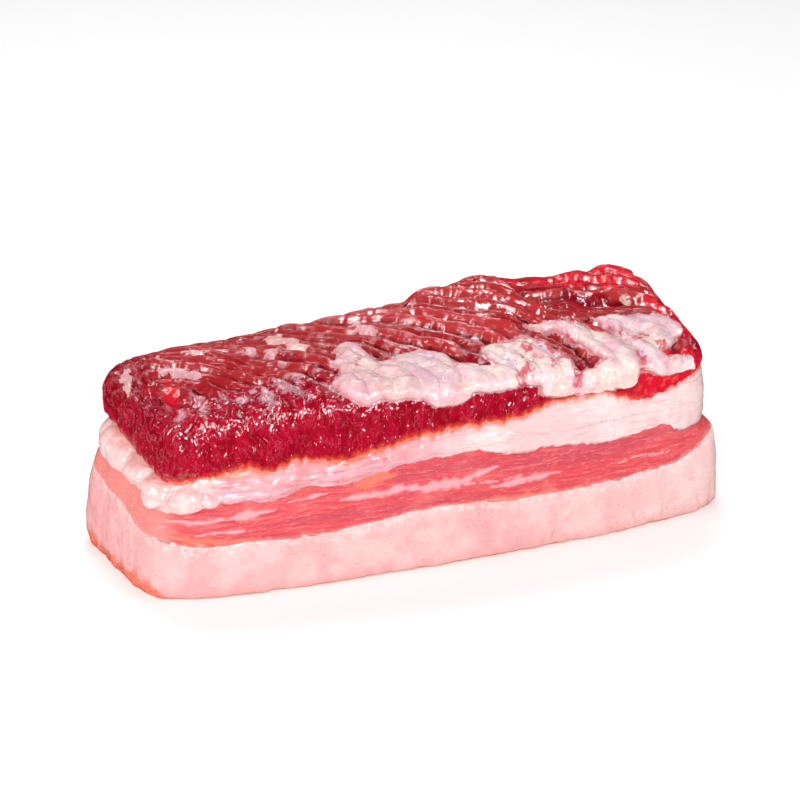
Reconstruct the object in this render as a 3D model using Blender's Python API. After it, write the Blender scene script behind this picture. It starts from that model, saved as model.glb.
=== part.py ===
"""Raw pork belly slab lying on its rind: four stacked layers and two patches of surface fat.

Run with: blender --background --python part.py
Lengths are in millimetres until a mesh is made. +X runs along the slab, -Y is the cut front face, +Z is up.
"""
import math

import bmesh
import bpy
from mathutils import Vector, noise
from mathutils.geometry import delaunay_2d_cdt

MM = 0.001

# The slab seen from above: four nearly straight sides, whose corners are rounded as a superellipse's are
CORNER_POWER = {"front": 7.0, "back": 9.0}
BOW = 4.2  # the front face stands out at mid-length, by this much more than at its ends
RING_LONG = 44  # steps along each long side
RING_SHORT = 14  # steps across each end

HALF_LENGTH = 84.0  # the reach of the height curves
HALF_WIDTH = 28.0
GAP = 0.3  # between neighbouring solids
BASE_INSET = 1.4  # the flat underside stops short of the rim
END_LIFT = 1.0  # the rind's rim curls up towards both ends

# Where each level's sides lie. The ends are given at the front corner and at the back corner
LEVELS = {
    "rind_base": {"left": (-81.0, -88.5), "right": (86.0, 84.0), "front": -29.4, "back": 26.5},
    "back_fat_top": {"left": (-79.0, -86.0), "right": (84.0, 83.0), "front": -28.4, "back": 26.5},
    "lower_lean_top": {"left": (-76.5, -82.5), "right": (80.0, 82.0), "front": -27.8, "back": 26.0},
    "seam_fat_top": {"left": (-73.0, -77.5), "right": (79.0, 82.0), "front": -27.6, "back": 26.0},
    "upper_lean_top": {"left": (-73.0, -82.5), "right": (78.5, 79.5), "front": -27.4, "back": 27.0},
}

# Heights of the levels from the left end to the right, at equal steps along the front face and the back face
HEIGHTS = {
    "back_fat_top": {
        "front": (17, 14.4, 14.5, 14.6, 15.1, 16.7, 17.1, 16.0, 15.5, 15.2, 16.2, 17.6, 23),
        "back": (22.5, 21.5, 19.5, 18.5, 18, 18.5, 19, 18.5, 18, 18.5, 19, 20, 22),
    },
    "lower_lean_top": {
        "front": (22, 25.4, 26.0, 28.0, 28.6, 30.9, 31.8, 30.6, 29.8, 28.4, 28.6, 27.4, 26.4),
        "back": (29.5, 30, 29.5, 29, 28.5, 29, 30, 31, 30.5, 30, 29.5, 29, 27.5),
    },
    "seam_fat_top": {
        "front": (38.5, 33.6, 34.8, 35.2, 34.8, 36.8, 38.1, 38.9, 41.2, 42.2, 39.6, 39.2, 42),
        "back": (40.5, 40, 39, 38.5, 39, 40, 41, 42, 43, 43.5, 42.5, 42, 41),
    },
    "upper_lean_top": {
        "front": (45, 48.6, 50.2, 51.2, 51.8, 51.8, 51.2, 51.4, 51, 50, 49, 48.2, 46.5),
        "back": (47.5, 50.2, 51.6, 52.4, 53.2, 53.2, 55.0, 57.2, 59.2, 58.2, 57.2, 57.6, 54),
    },
}
SURFACE_NOISE = 0.35  # how far cut faces wander
NOISE_SCALE = 11.0

# Muscle bundles on the top, which run from the back left to the front right
BUNDLE_SPACING = 5.4
BUNDLE_ANGLE = math.radians(-46)
BUNDLE_DEPTH = 2.0
BUNDLE_STEP = 6.0  # between the points along a bundle
BUNDLE_WANDER = 1.5
SHOULDER = 4.6  # how far in from the rim the top begins

# Rows up each layer's wall: share of the layer's height, and how far it bulges out
WALL_ROWS = {
    "back_fat": ((0.12, 0.5), (0.45, 1.0), (0.8, 0.7)),
    "lower_lean": ((0.35, 0.2), (0.7, 0.1)),
    "seam_fat": ((0.22, 0.5), (0.5, 0.8), (0.78, 0.5)),
    "upper_lean": ((0.14, 0.8), (0.4, 1.3), (0.66, 0.9), (0.86, -0.6), (0.96, -2.4)),
}

# Lumps of soft seam fat at the left end: centre, radius and how far each stands out
SEAM_LUMPS = (
    ((-80, 9, 35), 8.0, 3.4),
    ((-78, -8, 34), 6.0, 3.4),
    ((-77, -15, 29), 5.0, 2.2),
    ((-74, -24, 28.5), 7.5, 2.6),
    ((-80, 21, 32), 6.0, 1.2),
)
# Where the seam fat hangs down over the lower lean: place, radius and depth
SEAM_SAG = ((-75.5, -24), 5.5, 4.6)

# Surface fat, as lobes: x, y, height over the lean's top, then radius along, across and up
FAT_LOBES = {
    "surface_fat_middle": (
        (-22, -20, -0.8, 7.5, 9, 3.2),
        (-19, -9, -0.4, 5.2, 9, 2.8),
        (-16.5, -1, -0.3, 3.8, 7, 2.5),
        (-11, -19, -0.8, 8.5, 9.5, 3.3),
        (-2, -13, -0.5, 8.5, 9.5, 3.0),
        (1, -26, -3.0, 7, 4.8, 4.6),
        (3, -22, -0.8, 9, 7.5, 3.3),
        (13, -25, -1.4, 9.5, 5.6, 3.6),
        (21.5, -16, -0.6, 6.6, 8, 3.0),
        (28, -13, -0.5, 5.8, 6.5, 2.6),
        (23, -24.5, -1.4, 6.5, 5.4, 3.6),
        (31, -20, -0.8, 5.5, 9, 2.9),
        (31, -26.8, -4.8, 6, 3.8, 6.4),
        (39, -26.6, -4.6, 6, 3.8, 6.2),
    ),
    "surface_fat_right": (
        (47.5, -16, -0.6, 5.4, 12.5, 3.2),
        (54, -15, -0.6, 6.2, 14, 3.3),
        (57.5, -3.5, -0.3, 4.5, 5.5, 2.4),
        (66, -9.5, -0.5, 9.5, 8.6, 3.0),
        (60, -17, -0.6, 5.5, 10, 3.0),
        (51, -26, -3.6, 5.6, 4.2, 5.4),
        (60, -26, -3.6, 3.6, 3.4, 4.4),
        (65, -25.8, -5.6, 8.5, 3.0, 2.8),
    ),
}
LOBE_VOXEL = 2.0

MATERIALS = {  # colour, roughness
    "back_fat": ((0.93, 0.70, 0.68), 0.35),
    "lower_lean": ((0.78, 0.25, 0.25), 0.35),
    "seam_fat": ((0.95, 0.82, 0.79), 0.35),
    "upper_lean": ((0.50, 0.04, 0.07), 0.28),
    "surface_fat_middle": ((0.94, 0.76, 0.75), 0.3),
    "surface_fat_right": ((0.94, 0.78, 0.77), 0.3),
}


def clear_scene():
    for obj in list(bpy.data.objects):
        bpy.data.objects.remove(obj)


def smoothstep(low, high, value):
    share = min(max((value - low) / (high - low), 0.0), 1.0)
    return share * share * (3 - 2 * share)


def mix(a, b, share):
    return a + (b - a) * share


def along_curve(values, share):
    """A smooth (Catmull-Rom) curve through equally spaced values."""
    last = len(values) - 1
    place = min(max(share, 0.0), 1.0) * last
    i = min(int(place), last - 1)
    t = place - i
    before, a = values[max(i - 1, 0)], values[i]
    b, after = values[i + 1], values[min(i + 2, last)]
    return 0.5 * (
        2 * a
        + (b - before) * t
        + (2 * before - 5 * a + 4 * b - after) * t**2
        + (3 * a - before - 3 * b + after) * t**3
    )


def wander(x, y, z, seed):
    """Slow noise from -1 to 1."""
    return noise.noise(Vector((x, y, z)) / NOISE_SCALE + Vector((seed, 0, 0)))


def height(level, x, y):
    """Height of a level above the ground at a place on the slab."""
    share = (x + HALF_LENGTH) / (2 * HALF_LENGTH)
    back = smoothstep(-HALF_WIDTH, HALF_WIDTH, y)
    rows = HEIGHTS[level]
    z = along_curve(rows["front"], share) * (1 - back) + along_curve(rows["back"], share) * back
    if level == "lower_lean_top":
        (sag_x, sag_y), radius, depth = SEAM_SAG
        z -= depth * math.exp(-((x - sag_x) ** 2 + (y - sag_y) ** 2) / radius**2)
    return z + SURFACE_NOISE * wander(x, y, 0, len(level))


def bundle_axes(x, y):
    """Distance along and across the muscle bundles."""
    along = x * math.cos(BUNDLE_ANGLE) + y * math.sin(BUNDLE_ANGLE)
    across = -x * math.sin(BUNDLE_ANGLE) + y * math.cos(BUNDLE_ANGLE)
    return along, across


def bundle_wander(along, across):
    return BUNDLE_WANDER * (math.sin(along / 11 + across / 17) + 0.6 * math.sin(along / 6 - across / 9))


def bundle_relief(x, y):
    """Rounded ridges with narrow grooves, deeper towards the right and fading out at the front left."""
    along, across = bundle_axes(x, y)
    phase = math.pi * (across + bundle_wander(along, across)) / BUNDLE_SPACING
    ridge = abs(math.sin(phase)) ** 0.7 - 0.55
    fade = 1 - 0.75 * smoothstep(-6, -20, y) * smoothstep(-10, -34, x)
    return BUNDLE_DEPTH * ridge * fade * (0.7 + 0.5 * smoothstep(-30, 50, x))


def top_height(x, y):
    return height("upper_lean_top", x, y) + bundle_relief(x, y)


def square_ring():
    """Steps round a square from -1 to 1, anticlockwise from the front left corner."""
    for i in range(RING_LONG):
        yield 2 * i / RING_LONG - 1, -1.0
    for i in range(RING_SHORT):
        yield 1.0, 2 * i / RING_SHORT - 1
    for i in range(RING_LONG):
        yield 1 - 2 * i / RING_LONG, 1.0
    for i in range(RING_SHORT):
        yield -1.0, 1 - 2 * i / RING_SHORT


def rim_point(u, v, sides, outward):
    """A place on the slab's outline, moved outwards, from a place on the square's edge."""
    power = CORNER_POWER["front" if v < 0 else "back"]
    scale = (abs(u) ** power + abs(v) ** power) ** (-1 / power)
    u, v = u * scale, v * scale
    front = sides["front"] + BOW * u * u
    left, right = (mix(*sides[end], (v + 1) / 2) for end in ("left", "right"))
    normal = Vector((
        math.copysign(abs(u) ** (power - 1) / HALF_LENGTH, u),
        math.copysign(abs(v) ** (power - 1) / HALF_WIDTH, v),
    )).normalized()
    x = mix(left, right, (u + 1) / 2) + normal.x * outward
    y = mix(front, sides["back"], (v + 1) / 2) + normal.y * outward
    return x, y


def mixed_sides(low, high, share):
    """The sides of a level partway between two levels."""
    return {
        side: tuple(mix(a, b, share) for a, b in zip(low[side], high[side]))
        if side in ("left", "right")
        else mix(low[side], high[side], share)
        for side in low
    }


def lump_push(place):
    return sum(
        reach * math.exp(-((place - Vector(centre)).length / radius) ** 2)
        for centre, radius, reach in SEAM_LUMPS
    )


def rim_level(level, lift):
    """The ring of points where a level meets the slab's outside."""
    ring = []
    for u, v in square_ring():
        x, y = rim_point(u, v, LEVELS[level], SURFACE_NOISE * wander(u * 60, v * 20, 0, 5))
        ring.append(Vector((x, y, height(level, x, y) + lift)))
    return ring


def wall_ring(name, lower, upper, share, bulge):
    """One row of a layer's wall, between its lower and upper level."""
    ring = []
    for u, v in square_ring():
        sides = mixed_sides(LEVELS[lower], LEVELS[upper], share)
        x, y = rim_point(u, v, sides, bulge)
        low = height(lower, x, y) if lower in HEIGHTS else 0.0
        z = low + (height(upper, x, y) - low) * share
        push = 1.6 * SURFACE_NOISE * wander(x, y, z, len(name))
        if name == "seam_fat":
            push += lump_push(Vector((x, y, z)))
        if name == "back_fat":
            z += END_LIFT * (1 - share) * smoothstep(0.75, 1.0, abs(x) / HALF_LENGTH)
        x, y = rim_point(u, v, sides, bulge + push)
        ring.append(Vector((x, y, z)))
    return ring


def inner_points(ring, spacing):
    """Sparse points inside a ring, on rows from end to end."""
    reach_x = max(p.x for p in ring) - spacing
    reach_y = max(p.y for p in ring) - spacing
    count_x, count_y = round(2 * reach_x / (1.5 * spacing)), round(2 * reach_y / spacing)
    for i in range(count_x + 1):
        for j in range(count_y + 1):
            yield reach_x * (2 * i / count_x - 1), reach_y * (2 * j / count_y - 1)


def bundle_points(ring):
    """Points on each bundle's crest and groove lines inside a ring."""
    limit = HALF_LENGTH + HALF_WIDTH
    half = BUNDLE_SPACING / 2
    outline = [p.xy for p in ring]
    for i in range(-round(limit / half), round(limit / half) + 1):
        for j in range(-round(limit / BUNDLE_STEP), round(limit / BUNDLE_STEP) + 1):
            along = BUNDLE_STEP * (j + 0.5 * (i % 2))
            across = i * half
            for _ in range(3):  # settles on the wandering line
                across = i * half - bundle_wander(along, across)
            x = along * math.cos(BUNDLE_ANGLE) - across * math.sin(BUNDLE_ANGLE)
            y = along * math.sin(BUNDLE_ANGLE) + across * math.cos(BUNDLE_ANGLE)
            if inside(outline, x, y, 1.6):
                yield x, y


def inside(outline, x, y, margin):
    """Whether a point lies inside a convex outline by more than a margin."""
    here = Vector((x, y))
    for a, b in zip(outline, outline[1:] + outline[:1]):
        edge = b - a
        if edge.cross(here - a) < margin * edge.length:
            return False
    return True


def close_with_sheet(bm, ring_verts, points, z_at, facing_up):
    """Fills a ring with triangles through inner points whose height z_at gives."""
    places = [v.co.xy / MM for v in ring_verts] + [Vector(p) for p in points]
    border = [list(range(len(ring_verts)))]
    flat, _, faces, *_ = delaunay_2d_cdt(places, [], border, 1, 1e-4)
    verts = list(ring_verts)
    for x, y in points:
        verts.append(bm.verts.new((x * MM, y * MM, z_at(x, y) * MM)))
    if len(flat) != len(verts):
        raise ValueError("a sheet's points meet each other")
    for face in faces:
        corners = [verts[i] for i in face]
        bm.faces.new(corners if facing_up else corners[::-1])


def build_layer(name, rings, sheet_below, sheet_above):
    """A closed solid from rings bottom to top. Each sheet is its inner points and their height."""
    bm = bmesh.new()
    rows = [[bm.verts.new(p * MM) for p in ring] for ring in rings]
    count = len(rows[0])
    for low, high in zip(rows, rows[1:]):
        for i in range(count):
            j = (i + 1) % count
            bm.faces.new((low[i], low[j], high[j], high[i]))
    close_with_sheet(bm, rows[0], *sheet_below, facing_up=False)
    close_with_sheet(bm, rows[-1], *sheet_above, facing_up=True)
    bmesh.ops.recalc_face_normals(bm, faces=bm.faces)
    return add_object(name, bm)


def add_object(name, bm):
    mesh = bpy.data.meshes.new(name)
    bm.to_mesh(mesh)
    bm.free()
    mesh.shade_smooth()
    obj = bpy.data.objects.new(name, mesh)
    bpy.context.scene.collection.objects.link(obj)
    if name in MATERIALS:
        mesh.materials.append(make_material(name))
    return obj


def make_material(name):
    colour, roughness = MATERIALS[name]
    material = bpy.data.materials.new(name)
    material.use_nodes = True
    shader = material.node_tree.nodes["Principled BSDF"]
    shader.inputs["Base Color"].default_value = (*colour, 1)
    shader.inputs["Roughness"].default_value = roughness
    material.diffuse_color = (*colour, 1)
    return material


def sheet(level, lift, spacing=9.5):
    """Inner points of a level and their height, the same for the layers on both sides of it."""
    ring = rim_level(level, 0)
    outline = [p.xy for p in ring]
    points = [p for p in inner_points(ring, spacing) if inside(outline, *p, 3)]
    return points, lambda x, y: height(level, x, y) + lift


def build_back_fat():
    """The thick fat under everything, with the rind as its flat underside."""
    base = [
        Vector((*rim_point(u, v, LEVELS["rind_base"], -BASE_INSET), 0.0)) for u, v in square_ring()
    ]
    rows = [wall_ring("back_fat", "rind_base", "back_fat_top", *row) for row in WALL_ROWS["back_fat"]]
    top = rim_level("back_fat_top", -GAP / 2)
    flat = (list(inner_points(base, 16)), lambda x, y: 0.0)
    return build_layer("back_fat", [base, *rows, top], flat, sheet("back_fat_top", -GAP / 2))


def build_middle_layer(name, lower, upper):
    rows = [wall_ring(name, lower, upper, *row) for row in WALL_ROWS[name]]
    rings = [rim_level(lower, GAP / 2), *rows, rim_level(upper, -GAP / 2)]
    return build_layer(name, rings, sheet(lower, GAP / 2), sheet(upper, -GAP / 2))


def build_upper_lean():
    """The top muscle, with rounded shoulders and ridged bundles."""
    lower, upper = "seam_fat_top", "upper_lean_top"
    rows = [wall_ring("upper_lean", lower, upper, *row) for row in WALL_ROWS["upper_lean"]]
    shoulder = []
    for u, v in square_ring():
        x, y = rim_point(u, v, LEVELS[upper], -SHOULDER)
        shoulder.append(Vector((x, y, top_height(x, y))))
    rings = [rim_level(lower, GAP / 2), *rows, shoulder]
    top = (list(bundle_points(shoulder)), top_height)
    return build_layer("upper_lean", rings, sheet(lower, GAP / 2), top)


def build_surface_fat(name, cutters):
    """Overlapping lobes melted into one piece, cut away where the slab is."""
    bm = bmesh.new()
    for x, y, rise, *radii in FAT_LOBES[name]:
        made = bmesh.ops.create_icosphere(bm, subdivisions=3, radius=1)["verts"]
        centre = Vector((x, y, height("upper_lean_top", x, y) + rise))
        for vert in made:
            vert.co = (Vector(a * b for a, b in zip(vert.co, radii)) + centre) * MM
    lobes = add_object(name, bm)
    melt = lobes.modifiers.new("melt", "REMESH")
    melt.mode = "VOXEL"
    melt.voxel_size = LOBE_VOXEL * MM
    soften = lobes.modifiers.new("soften", "SMOOTH")
    soften.iterations = 3
    for cutter in cutters:
        cut = lobes.modifiers.new("cut", "BOOLEAN")
        cut.operation = "DIFFERENCE"
        cut.object = cutter
        cut.use_self = True  # a grown copy may fold over itself in a groove
    return lobes


def grown_copy(obj, distance):
    """A hidden copy whose surface stands out by a distance, for cutting a neighbour with a gap."""
    mesh = obj.data.copy()
    for vert, normal in zip(mesh.vertices, [v.normal.copy() for v in obj.data.vertices]):
        vert.co += normal * distance * MM
    copy = bpy.data.objects.new(obj.name + "_cutter", mesh)
    bpy.context.scene.collection.objects.link(copy)
    copy.hide_render = True
    copy.display_type = "WIRE"
    return copy


def centre_on_base(objects):
    """Moves everything so that the origin is under the middle of the slab's box."""
    bpy.context.view_layer.update()
    graph = bpy.context.evaluated_depsgraph_get()
    places = []
    for obj in objects:
        if not obj.hide_render:
            mesh = obj.evaluated_get(graph).data
            places += [v.co.copy() for v in mesh.vertices]
    low = [min(p[k] for p in places) for k in range(3)]
    high = [max(p[k] for p in places) for k in range(3)]
    shift = Vector(((low[0] + high[0]) / 2, (low[1] + high[1]) / 2, low[2]))
    for obj in objects:
        obj.location = -shift


def main():
    clear_scene()
    back_fat = build_back_fat()
    lower_lean = build_middle_layer("lower_lean", "back_fat_top", "lower_lean_top")
    seam_fat = build_middle_layer("seam_fat", "lower_lean_top", "seam_fat_top")
    upper_lean = build_upper_lean()
    cutters = [grown_copy(upper_lean, GAP), grown_copy(seam_fat, GAP)]
    caps = [build_surface_fat(name, cutters) for name in FAT_LOBES]
    centre_on_base([back_fat, lower_lean, seam_fat, upper_lean, *caps, *cutters])


main()
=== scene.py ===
import math

import bmesh
import bpy
import numpy as np
from mathutils import Matrix, Vector, noise
from mathutils.geometry import delaunay_2d_cdt


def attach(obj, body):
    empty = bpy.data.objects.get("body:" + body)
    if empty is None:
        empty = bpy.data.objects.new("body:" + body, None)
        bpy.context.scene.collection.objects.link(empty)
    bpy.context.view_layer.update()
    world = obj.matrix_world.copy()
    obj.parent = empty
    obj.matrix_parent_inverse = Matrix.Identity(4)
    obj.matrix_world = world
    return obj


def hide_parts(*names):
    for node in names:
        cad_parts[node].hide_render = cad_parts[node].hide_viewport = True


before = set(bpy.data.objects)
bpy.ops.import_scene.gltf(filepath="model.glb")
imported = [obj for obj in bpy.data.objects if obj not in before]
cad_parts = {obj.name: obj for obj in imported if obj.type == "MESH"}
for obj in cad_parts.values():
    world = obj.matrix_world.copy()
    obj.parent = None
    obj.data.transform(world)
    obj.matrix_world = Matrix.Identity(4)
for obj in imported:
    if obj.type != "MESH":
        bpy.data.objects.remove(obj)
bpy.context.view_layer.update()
mm = 0.001

# ---- the slab's outline and layers, in millimetres. x runs along it, the front face looks to -y

slab = {
    "frontCorner": 7.0,  # powers of the superellipse that rounds the corners
    "backCorner": 9.0,
    "bow": 4.2,  # how far the front face stands out at mid-length
    "halfLength": 84.0,
    "halfWidth": 28.0,
    "wander": 0.35,
    "wanderScale": 11.0,
    "longSteps": 330,
    "shortSteps": 104,
    "centring": (0.81, 1.21, 0.0),  # brings the finished slab over the origin
    "frontFlat": 0.35,  # the knife left the front flatter than the other sides
}

# Ends of each level at the left (front corner, back corner), at the right (the same), then front and back
outlines = {
    "rindBase": (-81.0, -88.5, 86.0, 84.0, -29.4, 26.5),
    "backFatTop": (-79.0, -86.0, 84.0, 83.0, -28.4, 26.5),
    "lowerLeanTop": (-76.5, -82.5, 80.0, 82.0, -27.8, 26.0),
    "seamFatTop": (-73.4, -79.6, 79.0, 82.0, -27.6, 26.0),
    "upperLeanTop": (-73.0, -82.5, 78.5, 79.5, -27.4, 27.0),
}

# Heights from the left end to the right, at equal steps along the front face and along the back face
heights = {
    "backFatTop": (
        (17, 14.4, 14.5, 14.6, 15.1, 16.7, 17.1, 16.0, 15.5, 15.2, 16.2, 17.6, 23),
        (22.5, 21.5, 19.5, 18.5, 18, 18.5, 19, 18.5, 18, 18.5, 19, 20, 22),
    ),
    "lowerLeanTop": (
        (20.8, 23, 27, 26.6, 26.2, 25.8, 27.9, 28.5, 28.1, 29.5, 30.7, 31.4, 31.9,
         32.1, 29.7, 28.7, 29.2, 28.8, 27.9, 27.8, 28, 28.9, 26, 25.6, 25),
        (29.5, 30, 29.5, 29, 28.5, 29, 30, 31, 30.5, 30, 29.5, 29, 27.5),
    ),
    "seamFatTop": (
        (29.6, 29.4, 31.4, 33.2, 35.3, 33.5, 36.3, 34.6, 34.2, 35.6, 37, 38, 38.5,
         38.8, 39, 39.4, 41.7, 41.9, 42.2, 40.1, 38.2, 38.7, 40.5, 41.6, 42.4),
        (35.2, 37.6, 38.8, 38.5, 39, 40, 41, 42, 43, 43.5, 42.5, 42, 41),
    ),
    "upperLeanTop": (
        (45, 48.6, 50.2, 51.2, 51.8, 51.8, 51.2, 51.4, 51, 50, 49, 48.2, 46.5),
        (47.5, 50.2, 51.6, 52.4, 53.2, 53.2, 55.0, 57.2, 59.2, 58.2, 57.2, 57.6, 54),
    ),
}
noiseSeeds = {
    "backFatTop": 12, "lowerLeanTop": 14, "seamFatTop": 12, "upperLeanTop": 14,
    "backFat": 8, "lowerLean": 10, "seamFat": 8, "upperLean": 10,
}
seamSag = {"place": (-72.5, -26), "radius": 6.2, "depth": 4.4}  # the seam fat hangs over the lean here


def mix(a, b, share):
    return a + (b - a) * share


def smoothstep(low, high, value):
    share = np.clip((value - low) / (high - low), 0.0, 1.0)
    return share * share * (3 - 2 * share)


def alongCurve(values, share):  # a Catmull-Rom curve through equally spaced values or points
    values = np.asarray(values, float)
    last = len(values) - 1
    place = np.clip(share, 0.0, 1.0) * last
    i = np.minimum(place.astype(int), last - 1)
    t = place - i
    if values.ndim > 1:
        t = t[..., None]
    before, a = values[np.maximum(i - 1, 0)], values[i]
    b, after = values[i + 1], values[np.minimum(i + 2, last)]
    return 0.5 * (
        2 * a
        + (b - before) * t
        + (2 * before - 5 * a + 4 * b - after) * t**2
        + (3 * a - before - 3 * b + after) * t**3
    )


def softNoise(x, y, z, scale, seed, octaves=1):  # -1 to 1, one value for each place
    x, y, z = np.broadcast_arrays(x, y, z)
    spots = np.stack([x, y, z], -1).reshape(-1, 3) / scale + np.array([seed, 0, 0])
    if octaves == 1:
        found = [noise.noise(Vector(spot)) for spot in spots]
    else:
        found = [noise.fractal(Vector(spot), 0.9, 2.1, octaves) for spot in spots]
    return np.array(found).reshape(x.shape)


def levelHeight(level, x, y):
    share = (x + slab["halfLength"]) / (2 * slab["halfLength"])
    back = smoothstep(-slab["halfWidth"], slab["halfWidth"], y)
    front, rear = heights[level]
    z = mix(alongCurve(front, share), alongCurve(rear, share), back)
    if level == "lowerLeanTop":
        sagX, sagY = seamSag["place"]
        z -= seamSag["depth"] * np.exp(-((x - sagX) ** 2 + (y - sagY) ** 2) / seamSag["radius"] ** 2)
    return z + slab["wander"] * softNoise(x, y, 0.0, slab["wanderScale"], noiseSeeds[level])


def squareRing(longSteps, shortSteps):  # anticlockwise from the front left corner
    along = 2 * np.arange(longSteps) / longSteps - 1
    across = 2 * np.arange(shortSteps) / shortSteps - 1
    u = np.concatenate([along, np.ones(shortSteps), -along, -np.ones(shortSteps)])
    v = np.concatenate([-np.ones(longSteps), across, np.ones(longSteps), -across])
    return u, v


def planPlace(u, v, sides, outward):  # sides: six numbers, or one row of six for each point
    sides = np.asarray(sides, float)
    left, leftBack, right, rightBack, front, back = (sides[..., k] for k in range(6))
    power = np.where(v < 0, slab["frontCorner"], slab["backCorner"])
    reach = np.maximum(np.abs(u), np.abs(v))
    safe = np.maximum(reach, 1e-9)
    cu, cv = np.where(reach > 0, np.abs(u) / safe, 1.0), np.abs(v) / safe
    scale = (cu**power + cv**power) ** (-1 / power)
    cu, cv = cu * scale, cv * scale
    nx = np.sign(u) * cu ** (power - 1) / slab["halfLength"]
    ny = np.sign(v) * cv ** (power - 1) / slab["halfWidth"]
    size = np.maximum(np.hypot(nx, ny), 1e-12)
    su, sv = u * scale, v * scale
    bowed = front + slab["bow"] * su * su
    x = mix(mix(left, leftBack, (sv + 1) / 2), mix(right, rightBack, (sv + 1) / 2), (su + 1) / 2)
    y = mix(bowed, back, (sv + 1) / 2)
    push = outward * reach**3
    return x + nx / size * push, y + ny / size * push


def gridFaces(rows, columns, wrap=False):  # quads of a sheet whose vertices run row by row
    i, j = np.meshgrid(np.arange(rows - 1), np.arange(columns if wrap else columns - 1), indexing="ij")
    nextJ = (j + 1) % columns
    a = i * columns + j
    b = i * columns + nextJ
    return np.stack([a, b, b + columns, a + columns], -1).reshape(-1, 4)


def sparseFill(ring, spacing, heightAt):  # triangles that close a ring through a few inner points
    low, high = ring.min(0), ring.max(0)
    xs = np.linspace(low[0] + spacing, high[0] - spacing, max(int((high[0] - low[0]) / spacing), 2))
    ys = np.linspace(low[1] + spacing, high[1] - spacing, max(int((high[1] - low[1]) / spacing), 2))
    inner = [(x, y) for x in xs for y in ys]
    places = [Vector(p[:2]) for p in ring] + [Vector(p) for p in inner]
    _, _, faces, *_ = delaunay_2d_cdt(places, [], [list(range(len(ring)))], 1, 1e-5)
    inner = np.array(inner)
    return np.column_stack([inner, heightAt(inner[:, 0], inner[:, 1])]), faces


def makeObject(name, points, faces, attributes=None):
    mesh = bpy.data.meshes.new(name)
    points = np.asarray(points, np.float32) * mm
    sizes = np.array([len(f) for f in faces])
    mesh.vertices.add(len(points))
    mesh.vertices.foreach_set("co", points.ravel())
    mesh.loops.add(int(sizes.sum()))
    mesh.loops.foreach_set("vertex_index", np.concatenate([np.asarray(f) for f in faces]).astype(np.int32))
    mesh.polygons.add(len(faces))
    mesh.polygons.foreach_set("loop_start", np.concatenate([[0], np.cumsum(sizes)[:-1]]).astype(np.int32))
    mesh.update(calc_edges=True)
    mesh.validate()
    mesh.shade_smooth()
    for key, values in (attributes or {}).items():
        layer = mesh.attributes.new(key, "FLOAT", "POINT")
        layer.data.foreach_set("value", np.asarray(values, np.float32))
    obj = bpy.data.objects.new(name, mesh)
    bpy.context.scene.collection.objects.link(obj)
    return obj


# ---- node helpers, shared by the geometry and the shader trees

def plug(tree, socket, value):
    if isinstance(value, bpy.types.NodeSocket):
        tree.links.new(value, socket)
    else:
        socket.default_value = value


def addNode(tree, kind, inputs=None, **settings):
    node = tree.nodes.new(kind)
    for key, value in settings.items():
        setattr(node, key, value)
    for key, value in (inputs or {}).items():
        plug(tree, node.inputs[key], value)
    return node


def calc(tree, operation, *values):
    node = addNode(tree, "ShaderNodeMath", operation=operation)
    for socket, value in zip(node.inputs, values):
        plug(tree, socket, value)
    return node.outputs[0]


def vectorCalc(tree, operation, *values):
    node = addNode(tree, "ShaderNodeVectorMath", operation=operation)
    for socket, value in zip(node.inputs, values):
        plug(tree, socket, value)
    return node.outputs[0]


def ramp(tree, value, low, high, lowTo=0.0, highTo=1.0, smooth=True):
    kind = "SMOOTHSTEP" if smooth else "LINEAR"
    inputs = {"Value": value, "From Min": low, "From Max": high, "To Min": lowTo, "To Max": highTo}
    return addNode(tree, "ShaderNodeMapRange", inputs, interpolation_type=kind).outputs[0]


def newTree(name, kind, inputs, outputs):
    tree = bpy.data.node_groups.new(name, kind)
    for label, socketType, default in inputs:
        socket = tree.interface.new_socket(label, in_out="INPUT", socket_type=socketType)
        if default is not None:
            socket.default_value = default
    for label, socketType in outputs:
        tree.interface.new_socket(label, in_out="OUTPUT", socket_type=socketType)
    given = tree.nodes.new("NodeGroupInput").outputs
    result = tree.nodes.new("NodeGroupOutput").inputs
    return tree, given, result


def finishMeshTree(tree, result, geometry, material):
    real = addNode(tree, "GeometryNodeRealizeInstances", {"Geometry": geometry})
    shown = addNode(tree, "GeometryNodeSetMaterial", {"Geometry": real.outputs[0], "Material": material})
    plug(tree, result["Geometry"], shown.outputs[0])


def applyTree(obj, tree, **values):  # runs a tree on an object and leaves a plain mesh
    modifier = obj.modifiers.new(tree.name, "NODES")
    modifier.node_group = tree
    for item in tree.interface.items_tree:
        if item.item_type != "SOCKET":
            continue
        key = item.name.replace(" ", "")
        key = key[0].lower() + key[1:]
        if item.in_out == "INPUT" and key in values:
            modifier[item.identifier] = values[key]
    graph = bpy.context.evaluated_depsgraph_get()
    mesh = bpy.data.meshes.new_from_object(
        obj.evaluated_get(graph), preserve_all_data_layers=True, depsgraph=graph
    )
    obj.modifiers.remove(modifier)
    old, obj.data = obj.data, mesh
    bpy.data.meshes.remove(old)
    return obj


def readPoints(obj):
    points = np.empty(len(obj.data.vertices) * 3, np.float32)
    obj.data.vertices.foreach_get("co", points)
    return points.reshape(-1, 3).astype(float) / mm


def storePoints(obj, points):
    obj.data.vertices.foreach_set("co", (np.asarray(points) * mm).astype(np.float32).ravel())
    obj.data.update()


def readAttribute(obj, name):
    values = np.empty(len(obj.data.vertices), np.float32)
    obj.data.attributes[name].data.foreach_get("value", values)
    return values.astype(float)


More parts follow.
